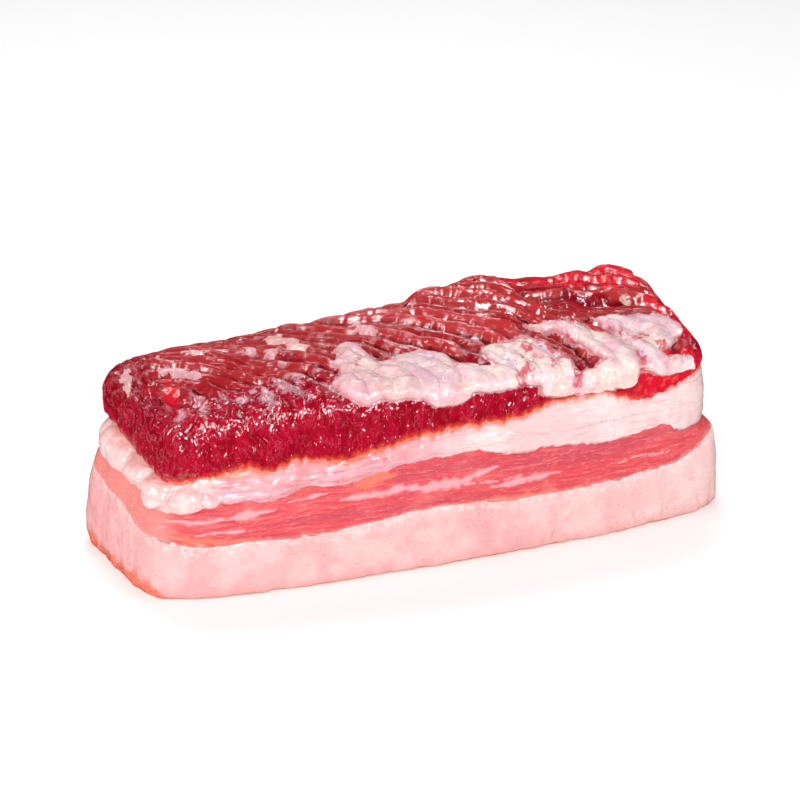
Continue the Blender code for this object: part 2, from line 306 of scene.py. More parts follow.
def storeAttribute(obj, name, values):
    attributes = obj.data.attributes
    layer = attributes.get(name) or attributes.new(name, "FLOAT", "POINT")
    layer.data.foreach_set("value", np.asarray(values, np.float32))


# ---- geometry trees

def positionInMm(tree):
    where = addNode(tree, "GeometryNodeInputPosition").outputs[0]
    return vectorCalc(tree, "MULTIPLY", where, (1000, 1000, 1000))


def namedValue(tree, name):
    found = addNode(tree, "GeometryNodeInputNamedAttribute", {"Name": name}, data_type="FLOAT")
    return found.outputs[0]


def storeValue(tree, geometry, name, value):
    inputs = {"Geometry": geometry, "Name": name, "Value": value}
    kept = addNode(tree, "GeometryNodeStoreNamedAttribute", inputs, data_type="FLOAT", domain="POINT")
    return kept.outputs[0]


def pushOut(tree, geometry, heightMm):  # moves each point along its normal
    normal = addNode(tree, "GeometryNodeInputNormal").outputs[0]
    step = addNode(tree, "ShaderNodeVectorMath", operation="SCALE")
    plug(tree, step.inputs[0], normal)
    plug(tree, step.inputs["Scale"], calc(tree, "MULTIPLY", heightMm, mm))
    moved = addNode(tree, "GeometryNodeSetPosition", {"Geometry": geometry, "Offset": step.outputs[0]})
    return moved.outputs[0]


def meshNoise(tree, vector, scale, seed, detail=3.0, roughness=0.55):
    inputs = {"Vector": vector, "Scale": scale, "W": seed, "Detail": detail, "Roughness": roughness}
    found = addNode(tree, "ShaderNodeTexNoise", inputs, noise_dimensions="4D")
    return found.outputs[0]


def bundleTree():  # overlapping bundles that sweep down the top, with a second group at the right
    tree, given, result = newTree(
        "muscleBundles",
        "GeometryNodeTree",
        (
            ("Geometry", "NodeSocketGeometry", None),
            ("Spacing", "NodeSocketFloat", 6.6),
            ("Lean", "NodeSocketFloat", 0.86),
            ("Curl", "NodeSocketFloat", 0.018),
            ("Right Spacing", "NodeSocketFloat", 5.2),
            ("Depth", "NodeSocketFloat", 1.6),
            ("Wander", "NodeSocketFloat", 0.9),
            ("Fibre Depth", "NodeSocketFloat", 0.07),
            ("Seed", "NodeSocketFloat", 3.0),
            ("Material", "NodeSocketMaterial", None),
        ),
        (("Geometry", "NodeSocketGeometry"),),
    )
    place = positionInMm(tree)
    xyz = addNode(tree, "ShaderNodeSeparateXYZ", {0: place}).outputs
    x, y = xyz[0], xyz[1]
    slow = calc(tree, "SUBTRACT", meshNoise(tree, place, 0.055, given["Seed"], 2.0), 0.5)
    seedTwo = calc(tree, "ADD", given["Seed"], 7.7)
    quickNoise = calc(tree, "SUBTRACT", meshNoise(tree, place, 0.16, seedTwo, 2.0), 0.5)
    warp = calc(tree, "ADD", calc(tree, "MULTIPLY", slow, 2.2), calc(tree, "MULTIPLY", quickNoise, 0.9))
    warp = calc(tree, "MULTIPLY", warp, given["Wander"])
    bent = calc(tree, "MULTIPLY", y, calc(tree, "MULTIPLY_ADD", y, given["Curl"], given["Lean"]))
    left = calc(tree, "ADD", calc(tree, "DIVIDE", calc(tree, "ADD", x, bent), given["Spacing"]), warp)
    beyond = calc(tree, "MAXIMUM", calc(tree, "SUBTRACT", x, 42.0), 0.0)
    arc = calc(tree, "MULTIPLY", calc(tree, "MULTIPLY", beyond, beyond), 0.009)
    right = calc(tree, "ADD", calc(tree, "DIVIDE", calc(tree, "ADD", y, arc), given["Right Spacing"]), warp)
    right = calc(tree, "ADD", right, 100.0)
    slanted = calc(tree, "MULTIPLY_ADD", y, 0.32, x)
    side = calc(tree, "ADD", calc(tree, "SUBTRACT", slanted, 42.5), calc(tree, "MULTIPLY", quickNoise, 13.0))
    low = calc(tree, "ADD", calc(tree, "ADD", y, 1.5), calc(tree, "MULTIPLY", quickNoise, 7.0))
    side = calc(tree, "MINIMUM", side, low)
    inRight = calc(tree, "GREATER_THAN", side, 0.0)
    phase = addNode(tree, "ShaderNodeMix", {"Factor": inRight, "A": left, "B": right}).outputs[0]
    cell = calc(tree, "FLOOR", phase)
    across = calc(tree, "FRACT", phase)
    chance = addNode(tree, "ShaderNodeTexWhiteNoise", {"W": cell}, noise_dimensions="1D").outputs[0]
    skew = calc(tree, "POWER", across, 1.5)
    crest = calc(tree, "POWER", calc(tree, "SINE", calc(tree, "MULTIPLY", skew, math.pi)), 0.7)
    rise = calc(tree, "MULTIPLY", crest, calc(tree, "MULTIPLY_ADD", chance, 0.6, 0.7))
    rise = calc(tree, "SUBTRACT", rise, 0.85)
    fold = calc(tree, "EXPONENT", calc(tree, "MULTIPLY", calc(tree, "MULTIPLY", side, side), -1.2))
    rise = calc(tree, "SUBTRACT", rise, calc(tree, "MULTIPLY", fold, 0.2))
    inputs = {"X": calc(tree, "MULTIPLY", phase, 5.0), "Y": calc(tree, "MULTIPLY", y, 0.05)}
    stretched = addNode(tree, "ShaderNodeCombineXYZ", inputs).outputs[0]
    fibre = calc(tree, "SUBTRACT", meshNoise(tree, stretched, 1.0, given["Seed"], 3.0), 0.5)
    amount = namedValue(tree, "bundleAmount")
    height = calc(tree, "ADD", calc(tree, "MULTIPLY", rise, given["Depth"]),
                  calc(tree, "MULTIPLY", fibre, calc(tree, "MULTIPLY", given["Fibre Depth"], 4.0)))
    shape = pushOut(tree, given["Geometry"], calc(tree, "MULTIPLY", height, amount))
    # painted shade mask: the hollow on the front-left side of each bundle and the fold between the groups
    groove = calc(tree, "MAXIMUM", ramp(tree, across, 0.0, 0.34, 1.0, 0.0), ramp(tree, across, 0.965, 1.0))
    shape = storeValue(tree, shape, "groove", calc(tree, "MAXIMUM", groove, calc(tree, "MULTIPLY", fold, 0.5)))
    # painted highlight mask: a thin line along each bundle's crest
    rim = calc(tree, "MULTIPLY", ramp(tree, across, 0.66, 0.84), ramp(tree, across, 0.93, 0.985, 1.0, 0.0))
    shape = storeValue(tree, shape, "rim", rim)
    shape = storeValue(tree, shape, "tone", chance)
    shape = storeValue(tree, shape, "phase", phase)
    shape = storeValue(tree, shape, "fibre", calc(tree, "ADD", fibre, 0.5))
    finishMeshTree(tree, result, shape, given["Material"])
    return tree


def grainTree():  # stretched noise pushed out of a surface, as cut fibre ends, strata or puckers
    tree, given, result = newTree(
        "fleshGrain",
        "GeometryNodeTree",
        (
            ("Geometry", "NodeSocketGeometry", None),
            ("Cells", "NodeSocketVector", (1.0, 1.0, 1.0)),
            ("Depth", "NodeSocketFloat", 0.2),
            ("Bend", "NodeSocketFloat", 0.6),
            ("Seed", "NodeSocketFloat", 1.0),
            ("Pucker", "NodeSocketFloat", 0.0),
            ("Pucker Scale", "NodeSocketFloat", 0.35),
            ("Amount Name", "NodeSocketString", "grainAmount"),
            ("Result Name", "NodeSocketString", "grain"),
            ("Material", "NodeSocketMaterial", None),
        ),
        (("Geometry", "NodeSocketGeometry"),),
    )
    place = positionInMm(tree)
    inputs = {"Vector": place, "Scale": 0.12, "W": given["Seed"], "Detail": 2.0}
    drift = addNode(tree, "ShaderNodeTexNoise", inputs, noise_dimensions="4D").outputs["Color"]
    drift = vectorCalc(tree, "SUBTRACT", drift, (0.5, 0.5, 0.5))
    size = addNode(tree, "ShaderNodeVectorMath", operation="SCALE")
    plug(tree, size.inputs[0], drift)
    plug(tree, size.inputs["Scale"], calc(tree, "MULTIPLY", given["Bend"], 10.0))
    bent = vectorCalc(tree, "ADD", place, size.outputs[0])
    cells = vectorCalc(tree, "MULTIPLY", bent, given["Cells"])
    grain = meshNoise(tree, cells, 1.0, given["Seed"], 2.0, 0.45)
    height = calc(tree, "MULTIPLY", calc(tree, "SUBTRACT", grain, 0.5), calc(tree, "MULTIPLY", given["Depth"], 3.0))
    inputs = {"Vector": bent, "Scale": given["Pucker Scale"], "Smoothness": 0.25}
    cell = addNode(tree, "ShaderNodeTexVoronoi", inputs, feature="SMOOTH_F1").outputs["Distance"]
    lump = calc(tree, "MULTIPLY", calc(tree, "SUBTRACT", 0.45, calc(tree, "MULTIPLY", cell, cell)), given["Pucker"])
    height = calc(tree, "ADD", height, lump)
    height = calc(tree, "MULTIPLY", height, namedValue(tree, given["Amount Name"]))
    shape = pushOut(tree, given["Geometry"], height)
    shape = storeValue(tree, shape, given["Result Name"], grain)
    finishMeshTree(tree, result, shape, given["Material"])
    return tree


# ---- the four layers

edgeWaves = {  # how unevenly each level meets the slab's sides: height and length of the waves
    "backFatTop": ((0.35, 7.0), (0.18, 2.2)),
    "lowerLeanTop": ((0.5, 5.0), (0.4, 1.9)),
    "seamFatTop": ((0.7, 4.5), (0.65, 1.5)),
}

# Each wall from its lower to its upper edge: share of the height, then how far out it stands
profiles = {
    "backFat": ((0, -1.4), (0.03, -0.5), (0.12, 0.5), (0.45, 1.0), (0.8, 0.6), (1, -0.1)),
    "lowerLean": ((0, -0.1), (0.35, 0.2), (0.7, 0.2), (1, 0)),
    "seamFat": ((0, 0), (0.22, 0.5), (0.5, 0.8), (0.78, 0.5), (1, 0)),
    "upperLean": ((0, 0.1), (0.14, 0.8), (0.4, 1.3), (0.66, 0.9), (0.86, -0.6), (0.96, -2.4), (1, -4.6)),
}

seamLobes = (  # soft lobes of seam fat at the left end: centre, radii, how far each stands out
    ((-80, 10, 30.4), (10, 9.5, 5.4), 3.4), ((-78, -4, 30.2), (9, 6.0, 4.6), 3.5),
    ((-77, -14, 29.4), (8, 5.0, 4.0), 3.4), ((-77, -14, 26.4), (7, 4.6, 2.6), 2.8),
    ((-73, -24.5, 27.0), (8.0, 6.0, 4.6), 3.6), ((-67.5, -27, 26.6), (7.0, 5, 4.6), 2.8),
    ((-80, 22, 30.0), (8, 6.0, 4.2), 1.4), ((-79, 3, 29.5), (7, 6.0, 2.6), 1.4),
    ((-56, -28, 30.5), (12, 6, 1.7), 0.9), ((-58, -28, 27.4), (9, 6, 1.5), 1.0),
    ((-36, -28, 30.5), (13, 6, 1.6), 0.8), ((-20, -28, 32.5), (14, 6, 1.6), 0.7),
    ((5, -28, 34.0), (18, 6, 2.0), 0.7), ((40, -28, 36.0), (22, 6, 3.0), 0.6),
)


def capPush(x, y, z, lobes, seed):  # rounded caps that crease where they meet
    warp = [0.9 * softNoise(x, y, z, 4.0, seed + 5 * k, 2) for k in range(3)]
    best = np.zeros(np.shape(x))
    for (cx, cy, cz), (rx, ry, rz), reach in lobes:
        away = ((x + warp[0] - cx) / rx) ** 2 + ((y + warp[1] - cy) / ry) ** 2 + ((z + warp[2] - cz) / rz) ** 2
        best = np.maximum(best, reach * np.sqrt(np.maximum(1 - away, 0)))
    return best


def edgeRing(level, u, v):  # where a level meets the slab's sides
    x, y = planPlace(u, v, outlines[level], 0.0)
    z = levelHeight(level, x, y)
    for seed, (high, long) in enumerate(edgeWaves.get(level, ())):
        z = z + high * softNoise(x, y, 0.0, long, 31.3 + 9 * seed, 2)
    return z


def frontShare(v, u):  # 1 on the front face, 0 on the ends and the back
    return smoothstep(-0.90, -1.0, v) * smoothstep(1.0, 0.93, np.abs(u))


def rindPush(x, y, share):  # the soft edge above the rind is wavy, with shallow dents up the front
    wave = 0.75 * softNoise(x, y, 0.0, 6.0, 53.0, 2) * np.exp(-((share - 0.06) / 0.10) ** 2)
    dents = -0.6 * smoothstep(0.1, 0.5, softNoise(x, y, 0.0, 3.6, 57.0)) * np.exp(-((share - 0.22) / 0.16) ** 2)
    return wave + dents * smoothstep(5, 25, x)


def wallRows(name, lower, upper, rows, lift=0.0, sink=0.0):
    u, v = squareRing(slab["longSteps"], slab["shortSteps"])
    low = edgeRing(lower, u, v) - sink if lower in heights else np.zeros(len(u))
    high = edgeRing(upper, u, v) + lift
    knots = np.array(profiles[name], float)
    fine = alongCurve(knots, np.linspace(0, 1, 400))
    span = float(np.mean(high - low))
    steps = np.hypot(np.diff(fine[:, 0]) * span, np.diff(fine[:, 1]))
    walked = np.concatenate([[0], np.cumsum(steps)])
    spots = np.interp(np.linspace(0, walked[-1], rows), walked, np.arange(400))
    shares = np.interp(spots, np.arange(400), fine[:, 0])
    outs = np.interp(spots, np.arange(400), fine[:, 1])
    lowSides, highSides = np.array(outlines[lower], float), np.array(outlines[upper], float)
    flat = frontShare(v, u)
    made = []
    for share, out in zip(shares, outs):
        sides = mix(lowSides, highSides, share)
        keep = 1 - (1 - slab["frontFlat"]) * flat * (share > 0.05) * (share < 0.8 if name == "upperLean" else 1)
        z = mix(low, high, share)
        x, y = planPlace(u, v, sides, out * keep)
        push = 1.6 * slab["wander"] * softNoise(x, y, z, slab["wanderScale"], noiseSeeds[name]) * (1 - 0.5 * flat)
        if name == "seamFat":
            push = push + capPush(x, y, z, seamLobes, 41.0)
        if name == "backFat":
            push = push + rindPush(x, y, share)
        if name == "upperLean":
            push = push + 1.0 * math.exp(-((share - 0.2) / 0.2) ** 2) * smoothstep(-66, -78, x)
        x, y = planPlace(u, v, sides, out * keep + push)
        made.append(np.stack([x, y, z], -1))
    return np.array(made), u, v


def closedLayer(name, rows, spacing=9.0):  # closes a stack of rings with sparse sheets
    count = rows.shape[1]
    points = rows.reshape(-1, 3)
    faces = [tuple(f) for f in gridFaces(len(rows), count, wrap=True)]
    lastRow = (len(rows) - 1) * count
    for ring, start, up in ((rows[0], 0, False), (rows[-1], lastRow, True)):
        middle = float(ring[:, 2].mean())
        inner, found = sparseFill(ring, spacing, lambda x, y: np.full(len(x), middle))
        base = len(points)
        points = np.vstack([points, inner])
        for face in found:
            ids = [start + i if i < count else base + i - count for i in face]
            faces.append(tuple(ids if up else ids[::-1]))
    return points, faces


def wallMeasures(rows, total):  # distance of each point from the wall's lower and upper edge, in mm
    fromLow = np.full(total, 0.0)
    fromHigh = np.full(total, 0.0)
    count = rows.shape[1]
    low = rows[:, :, 2] - rows[0][None, :, 2]
    high = rows[-1][None, :, 2] - rows[:, :, 2]
    fromLow[: len(rows) * count] = low.ravel()
    fromHigh[: len(rows) * count] = high.ravel()
    return fromLow, fromHigh


def makeLayer(name, lower, upper, rows, lift=0.0, sink=0.0):
    walls, _, _ = wallRows(name, lower, upper, rows, lift, sink)
    points, faces = closedLayer(name, walls)
    fromLow, fromHigh = wallMeasures(walls, len(points))
    amount = np.zeros(len(points))
    amount[: walls.shape[0] * walls.shape[1]] = 1.0
    obj = makeObject(name, points, faces, {"fromLow": fromLow, "fromHigh": fromHigh, "grainAmount": amount})
    print(name, len(points), "points")
    return obj


topSheet = {
    "shoulder": 4.6,
    "rows": 44,
    "lumps": (  # rounded bundle ends along the back edge and elsewhere: x, y, radius, rise
        (13, 22, 4.5, 1.0), (28, 23, 7.0, 0.9), (57, 23, 4.5, 1.0), (70, 21, 5.0, 0.4),
        (40, 22, 4.0, -1.0), (49, 22, 3.5, -0.7), (63, 24, 2.5, -1.6), (55, 8, 5.0, -1.0),
        (-76, 20, 6.0, 0.4), (-2, 24, 2.5, 0.6), (6, 24, 3.0, -0.8), (18, 24, 2.0, -0.8),
    ),
}


def makeUpperLean():
    longSteps, shortSteps = slab["longSteps"], slab["shortSteps"]
    walls, u, v = wallRows("upperLean", "seamFatTop", "upperLeanTop", topSheet["rows"], sink=0.4)
    count = walls.shape[1]
    rim = (len(walls) - 1) * count
    index = np.full((longSteps + 1, shortSteps + 1), -1)
    index[:longSteps, 0] = rim + np.arange(longSteps)
    index[longSteps, :shortSteps] = rim + longSteps + np.arange(shortSteps)
    index[longSteps - np.arange(longSteps), shortSteps] = rim + longSteps + shortSteps + np.arange(longSteps)
    index[0, shortSteps - np.arange(shortSteps)] = rim + 2 * longSteps + shortSteps + np.arange(shortSteps)
    inside = index < 0
    index[inside] = len(walls) * count + np.arange(inside.sum())
    i, j = np.nonzero(inside)
    iu, jv = 2 * i / longSteps - 1, 2 * j / shortSteps - 1
    x, y = planPlace(iu, jv, outlines["upperLeanTop"], -topSheet["shoulder"])
    top = np.stack([x, y, levelHeight("upperLeanTop", x, y)], -1)
    points = np.vstack([walls.reshape(-1, 3), top])
    share = np.concatenate([np.repeat(np.linspace(0, 1, len(walls)), count), np.ones(len(top))])
    raised = smoothstep(0.45, 0.8, share)
    for lx, ly, radius, rise in topSheet["lumps"]:
        points[:, 2] += raised * rise * np.exp(-((points[:, 0] - lx) ** 2 + (points[:, 1] - ly) ** 2) / radius**2)
    faces = [tuple(f) for f in gridFaces(len(walls), count, wrap=True)]
    a, b = index[:-1, :-1], index[1:, :-1]
    c, d = index[1:, 1:], index[:-1, 1:]
    faces += [tuple(f) for f in np.stack([a, b, c, d], -1).reshape(-1, 4)]
    middle = float(walls[0][:, 2].mean())
    inner, found = sparseFill(walls[0], 9.0, lambda px, py: np.full(len(px), middle))
    base = len(points)
    points = np.vstack([points, inner])
    faces += [tuple((k if k < count else base + k - count) for k in face)[::-1] for face in found]
    total = len(points)
    x, y, z = points.T
    share = np.concatenate([share, np.zeros(len(inner))])
    fromLow, _ = wallMeasures(walls, total)
    fromLow[len(walls) * count:] = 30.0
    fade = 1 - 0.5 * smoothstep(-4, -15, y) * smoothstep(-16, -34, x)
    fade *= smoothstep(-79, -70, x - 0.12 * y)
    bundleAmount = smoothstep(0.55, 0.9, share) * fade * (0.9 + 0.25 * smoothstep(-30, 50, x))
    cut = mix(1 - smoothstep(0.80, 1.0, share), 1 - smoothstep(0.40, 0.66, share), smoothstep(2, 12, y))
    frontGrain = smoothstep(-4, -14, y) * smoothstep(-20, -36, x)
    grainAmount = np.clip(cut + frontGrain * 0.55 + 0.9 * smoothstep(-68, -76, x - 0.12 * y), 0.0, 1.0)
    grainAmount *= 1 - 0.65 * smoothstep(42, 58, x)
    grainAmount[base:] = 0
    leftEnd = smoothstep(-66, -74, x - 0.14 * y) * smoothstep(10, 22, fromLow + 12)
    obj = makeObject("upperLeanMeat", points, faces, {
        "fromLow": fromLow, "bundleAmount": bundleAmount, "grainAmount": grainAmount,
        "cutFace": np.clip(cut + frontGrain, 0, 1), "leftEnd": leftEnd,
        "shoulder": frontGrain * smoothstep(44.5, 48, z) * smoothstep(-70, -62, x),
    })
    print("upper lean", total, "points")
    return obj, index, len(walls), count


surfaceFat = {  # lobes: x, y, height over the lean's top, then radius along, across and up
    "middle": (
        (-22, -20, -0.6, 7.2, 9, 2.6, 0), (-19, -8, -0.3, 5.6, 7.5, 2.1, 15), (-17, -0.5, -0.3, 3.9, 6.8, 2.0, 10),
        (-11, -19, -0.6, 8.5, 11, 2.7, 0), (-2, -14, -0.4, 8.5, 10, 2.4, 0), (-1, -26, -2.2, 7, 4.6, 3.8, 0),
        (4, -22, -0.6, 9, 7, 2.8, 0), (13, -26, -1.0, 9.5, 5.6, 3.0, 0), (20.5, -16, -0.4, 6.4, 8.6, 2.4, 0),
        (28, -13.5, -0.4, 5.4, 7.4, 2.2, 20), (23, -24.5, -1.2, 7, 5.6, 3.2, 0), (31.5, -20, -0.6, 4.6, 9.5, 2.4, 18),
        (31, -26.8, -4.0, 6, 3.6, 3.8, 0), (40, -26.6, -5.0, 6, 3.4, 3.8, 0),
    ),
    "right": (
        (37, -3.4, -0.5, 5.5, 2.2, 1.4, -15), (43.5, -7, -0.3, 4.0, 8, 2.2, 30), (48.5, -15, -0.2, 5.2, 12, 2.8, 14),
        (50.5, -24, -0.8, 5.0, 7, 3.2, 6), (51, -27, -2.8, 3.8, 3.6, 3.8, 0), (45.5, -26, -3.6, 3.8, 3.8, 4.6, 0),
        (57, -4, -0.3, 5.4, 3.6, 1.9, -20), (58.2, -16, -0.3, 3.9, 12, 2.5, 4), (60, -24, -0.9, 3.6, 6.0, 2.6, 0),
        (67.5, -7.5, -0.2, 8.6, 6.0, 2.5, -28), (64.5, -13, -0.5, 6.0, 7.0, 2.3, 0), (72, -11, -0.8, 4.2, 4.0, 2.3, -40),
        (67, -25.5, -2.2, 8.6, 3.4, 2.7, 0),
    ),
    "soften": 3,  # passes that round the rims
    "rimPower": 0.60,
    "full": 2.0,  # thickness where the rim's rounding ends
    "lumps": ((0.35, 5.0), (0.16, 1.8)),
    "ragged": (1.5, 3.6),
    "depth": 1.3,  # how deep the hidden side lies in the meat
}


def softened(sheet, passes):  # blurs a grid of values along both its directions
    for _ in range(passes):
        for axis in (0, 1):
            padded = np.concatenate(
                [np.take(sheet, [0], axis), sheet, np.take(sheet, [-1], axis)], axis
            )
            count = sheet.shape[axis]
            near, far = np.take(padded, range(count), axis), np.take(padded, range(2, count + 2), axis)
            sheet = 0.25 * near + 0.5 * sheet + 0.25 * far
    return sheet


def sheetNormals(sheet):
    along = np.gradient(sheet, axis=0)
    across = np.gradient(sheet, axis=1)
    normal = np.cross(along, across)
    return normal / np.maximum(np.linalg.norm(normal, axis=-1, keepdims=True), 1e-9)


def lobeHeights(points, normals, lobes):  # how far each lobe reaches along a point's normal
    best = np.full(points.shape[:2], -1.6)
    x, y, z = points[..., 0], points[..., 1], points[..., 2]
    warp, length = surfaceFat["ragged"]
    shift = [warp * softNoise(x, y, z, length, seed, 2) for seed in (3.1, 15.7)]
    for lx, ly, rise, rx, ry, rz, turn in lobes:
        centre = np.array([lx, ly, float(levelHeight("upperLeanTop", np.array([lx]), np.array([ly]))[0]) + rise])
        c, d = math.cos(math.radians(turn)), math.sin(math.radians(turn))
        facing = np.array([[c / rx, -d / ry, 0], [d / rx, c / ry, 0], [0, 0, 1 / rz]])
        start = (points + np.stack([shift[0], shift[1], 0 * x], -1) - centre) @ facing
        step = normals @ facing
        a = (step**2).sum(-1)
        b = (start * step).sum(-1)
        c = (start**2).sum(-1) - 1
        inner = b * b - a * c
        reach = np.where(inner > 0, (-b + np.sqrt(np.maximum(inner, 0))) / a, -1.6)
        best = np.maximum(best, np.clip(reach, -1.6, 3.4))
    return best


def fatField(sheet, lobes):
    smooth = softened(sheet, 8)
    normals = sheetNormals(smooth)
    raw = softened(lobeHeights(smooth, normals, lobes), surfaceFat["soften"])
    full, power = surfaceFat["full"], surfaceFat["rimPower"]
    height = np.where(raw > 0, full * (np.maximum(raw, 0) / full) ** power, raw)
    x, y, z = smooth[..., 0], smooth[..., 1], smooth[..., 2]
    for seed, (high, long) in enumerate(surfaceFat["lumps"]):
        height = height + high * softNoise(x, y, z, long, 60 + seed, 2) * smoothstep(0.1, 1.0, raw)
    poke = softened(((sheet - smooth) * normals).sum(-1), 2)
    height = np.where(raw > 0, np.maximum(height, poke + 0.45 * smoothstep(0, 0.6, raw)), height)
    return smooth, normals, raw, height


def makeSurfaceFat(name, sheet, lobes):
    smooth, normals, raw, height = fatField(sheet, lobes)
    outer = smooth + normals * height[..., None]
    inner = smooth - normals * surfaceFat["depth"]
    used = raw > -0.2
    cells = used[:-1, :-1] | used[1:, :-1] | used[1:, 1:] | used[:-1, 1:]
    rows, columns = sheet.shape[:2]
    index = np.arange(rows * columns).reshape(rows, columns)
    below = rows * columns
    quads = np.stack([index[:-1, :-1], index[1:, :-1], index[1:, 1:], index[:-1, 1:]], -1)[cells]
    edges = {}
    for quad in quads:
        for k in range(4):
            a, b = int(quad[k]), int(quad[(k + 1) % 4])
            if (b, a) in edges:
                del edges[(b, a)]
            else:
                edges[(a, b)] = True
    faces = [tuple(q) for q in quads] + [tuple(q[::-1] + below) for q in quads]
    faces += [(b, a, a + below, b + below) for a, b in edges]
    points = np.vstack([outer.reshape(-1, 3), inner.reshape(-1, 3)])
    kept = np.unique(np.concatenate([np.array(f) for f in faces]))
    renamed = np.full(len(points), -1)
    renamed[kept] = np.arange(len(kept))
    faces = [tuple(int(renamed[k]) for k in f) for f in faces]
    thick = np.concatenate([raw.ravel(), raw.ravel()])[kept]
    amount = smoothstep(0.3, 1.2, thick)
    obj = makeObject(name, points[kept], faces, {"thick": thick, "grainAmount": amount})
    print(name, len(kept), "points")
    return obj, raw


# ---- shader groups

def tissueGroup():  # stretched noise in the object's own millimetres: fine strands and broad blotches
    tree, given, result = newTree(
        "tissue",
        "ShaderNodeTree",
        (
            ("Cells", "NodeSocketVector", (1.0, 1.0, 1.0)),
            ("Bend", "NodeSocketFloat", 0.5),
            ("Blotch", "NodeSocketFloat", 0.1),
            ("Seed", "NodeSocketFloat", 1.0),
            ("Detail", "NodeSocketFloat", 4.0),
        ),
        (("Fine", "NodeSocketFloat"), ("Broad", "NodeSocketFloat")),
    )
    place = addNode(tree, "ShaderNodeTexCoord").outputs["Object"]
    place = vectorCalc(tree, "MULTIPLY", place, (1000, 1000, 1000))
    inputs = {"Vector": place, "Scale": 0.11, "W": given["Seed"], "Detail": 2.0}
    drift = addNode(tree, "ShaderNodeTexNoise", inputs, noise_dimensions="4D").outputs["Color"]
    drift = vectorCalc(tree, "SUBTRACT", drift, (0.5, 0.5, 0.5))
    size = addNode(tree, "ShaderNodeVectorMath", operation="SCALE")
    plug(tree, size.inputs[0], drift)
    plug(tree, size.inputs["Scale"], calc(tree, "MULTIPLY", given["Bend"], 10.0))
    bent = vectorCalc(tree, "ADD", place, size.outputs[0])
    cells = vectorCalc(tree, "MULTIPLY", bent, given["Cells"])
    inputs = {"Vector": cells, "Scale": 1.0, "W": given["Seed"], "Detail": given["Detail"], "Roughness": 0.6}
    fine = addNode(tree, "ShaderNodeTexNoise", inputs, noise_dimensions="4D").outputs[0]
    seedTwo = calc(tree, "ADD", given["Seed"], 5.3)
    inputs = {"Vector": place, "Scale": given["Blotch"], "W": seedTwo, "Detail": 3.0, "Roughness": 0.55}
    broad = addNode(tree, "ShaderNodeTexNoise", inputs, noise_dimensions="4D").outputs[0]
    plug(tree, result["Fine"], fine)
    plug(tree, result["Broad"], broad)
    return tree


def raggedGroup():  # 1 at an edge, fading out over a reach whose far side is torn
    tree, given, result = newTree(
        "raggedEdge",
        "ShaderNodeTree",
        (
            ("Distance", "NodeSocketFloat", 0.0),
            ("Reach", "NodeSocketFloat", 1.5),
            ("Ragged", "NodeSocketFloat", 1.0),
            ("Seed", "NodeSocketFloat", 1.0),
        ),
        (("Mask", "NodeSocketFloat"),),
    )
    place = addNode(tree, "ShaderNodeTexCoord").outputs["Object"]
    place = vectorCalc(tree, "MULTIPLY", place, (1000, 1000, 550))
    inputs = {"Vector": place, "Scale": 0.55, "W": given["Seed"], "Detail": 4.0, "Roughness": 0.65}
    torn = addNode(tree, "ShaderNodeTexNoise", inputs, noise_dimensions="4D").outputs[0]
    torn = calc(tree, "MULTIPLY", calc(tree, "SUBTRACT", torn, 0.5), calc(tree, "MULTIPLY", given["Ragged"], 4.0))
    distance = calc(tree, "ADD", given["Distance"], torn)
    share = calc(tree, "DIVIDE", distance, given["Reach"])
    plug(tree, result["Mask"], ramp(tree, share, 0.0, 1.0, 1.0, 0.0))
    return tree


def useGroup(tree, group, **values):
    node = tree.nodes.new("ShaderNodeGroup")
    node.node_tree = group
    for key, value in values.items():
        label = key[0].upper() + key[1:]
        plug(tree, node.inputs[label], value)
    return node.outputs


def attribute(tree, name):
    return addNode(tree, "ShaderNodeAttribute", attribute_name=name).outputs["Fac"]


def blendColour(tree, factor, a, b):
    inputs = {"Factor": factor}
    node = addNode(tree, "ShaderNodeMix", inputs, data_type="RGBA")
    plug(tree, node.inputs["A"], a if isinstance(a, bpy.types.NodeSocket) else (*a, 1))
    plug(tree, node.inputs["B"], b if isinstance(b, bpy.types.NodeSocket) else (*b, 1))
    return node.outputs["Result"]


def startMaterial(name, look):
    material = bpy.data.materials.new(name)
    material.use_nodes = True
    tree = material.node_tree
    shader = tree.nodes["Principled BSDF"]
    shader.inputs["Subsurface Weight"].default_value = look["glow"]
    shader.inputs["Subsurface Radius"].default_value = look["glowColour"]
    shader.inputs["Subsurface Scale"].default_value = look["glowDepth"]
    shader.inputs["Coat Weight"].default_value = look["wet"]
    shader.inputs["Coat Roughness"].default_value = look["wetRoughness"]
    shader.inputs["IOR"].default_value = 1.45
    shader.inputs["Specular IOR Level"].default_value = look["gloss"]
    return material, tree, shader


def addBump(tree, shader, height, strength, distance=0.0005):
    inputs = {"Strength": strength, "Distance": distance, "Height": height}
    bump = addNode(tree, "ShaderNodeBump", inputs)
    plug(tree, shader.inputs["Normal"], bump.outputs[0])


# ---- materials

def isLine(tree, value, width):  # thin lines where a noise crosses its middle
    away = calc(tree, "ABSOLUTE", calc(tree, "SUBTRACT", value, 0.5))
    return ramp(tree, away, 0.0, width, 1.0, 0.0)


def times(tree, *values):
    found = values[0]
    for value in values[1:]:
        found = calc(tree, "MULTIPLY", found, value)
    return found


backFatLook = {
    "glow": 0.2, "glowColour": (1.0, 0.35, 0.28), "glowDepth": 0.0025, "wet": 0.1, "wetRoughness": 0.2,
    "gloss": 0.55, "fat": (0.90, 0.46, 0.46), "pale": (0.94, 0.585, 0.57), "deep": (0.90, 0.38, 0.38),
    "white": (0.97, 0.80, 0.77), "rind": (0.94, 0.23, 0.13), "rindDark": (0.70, 0.10, 0.06), "edge": (0.86, 0.36, 0.34),
    "skin": (0.90, 0.62, 0.50), "skinDark": (0.72, 0.38, 0.29),
}


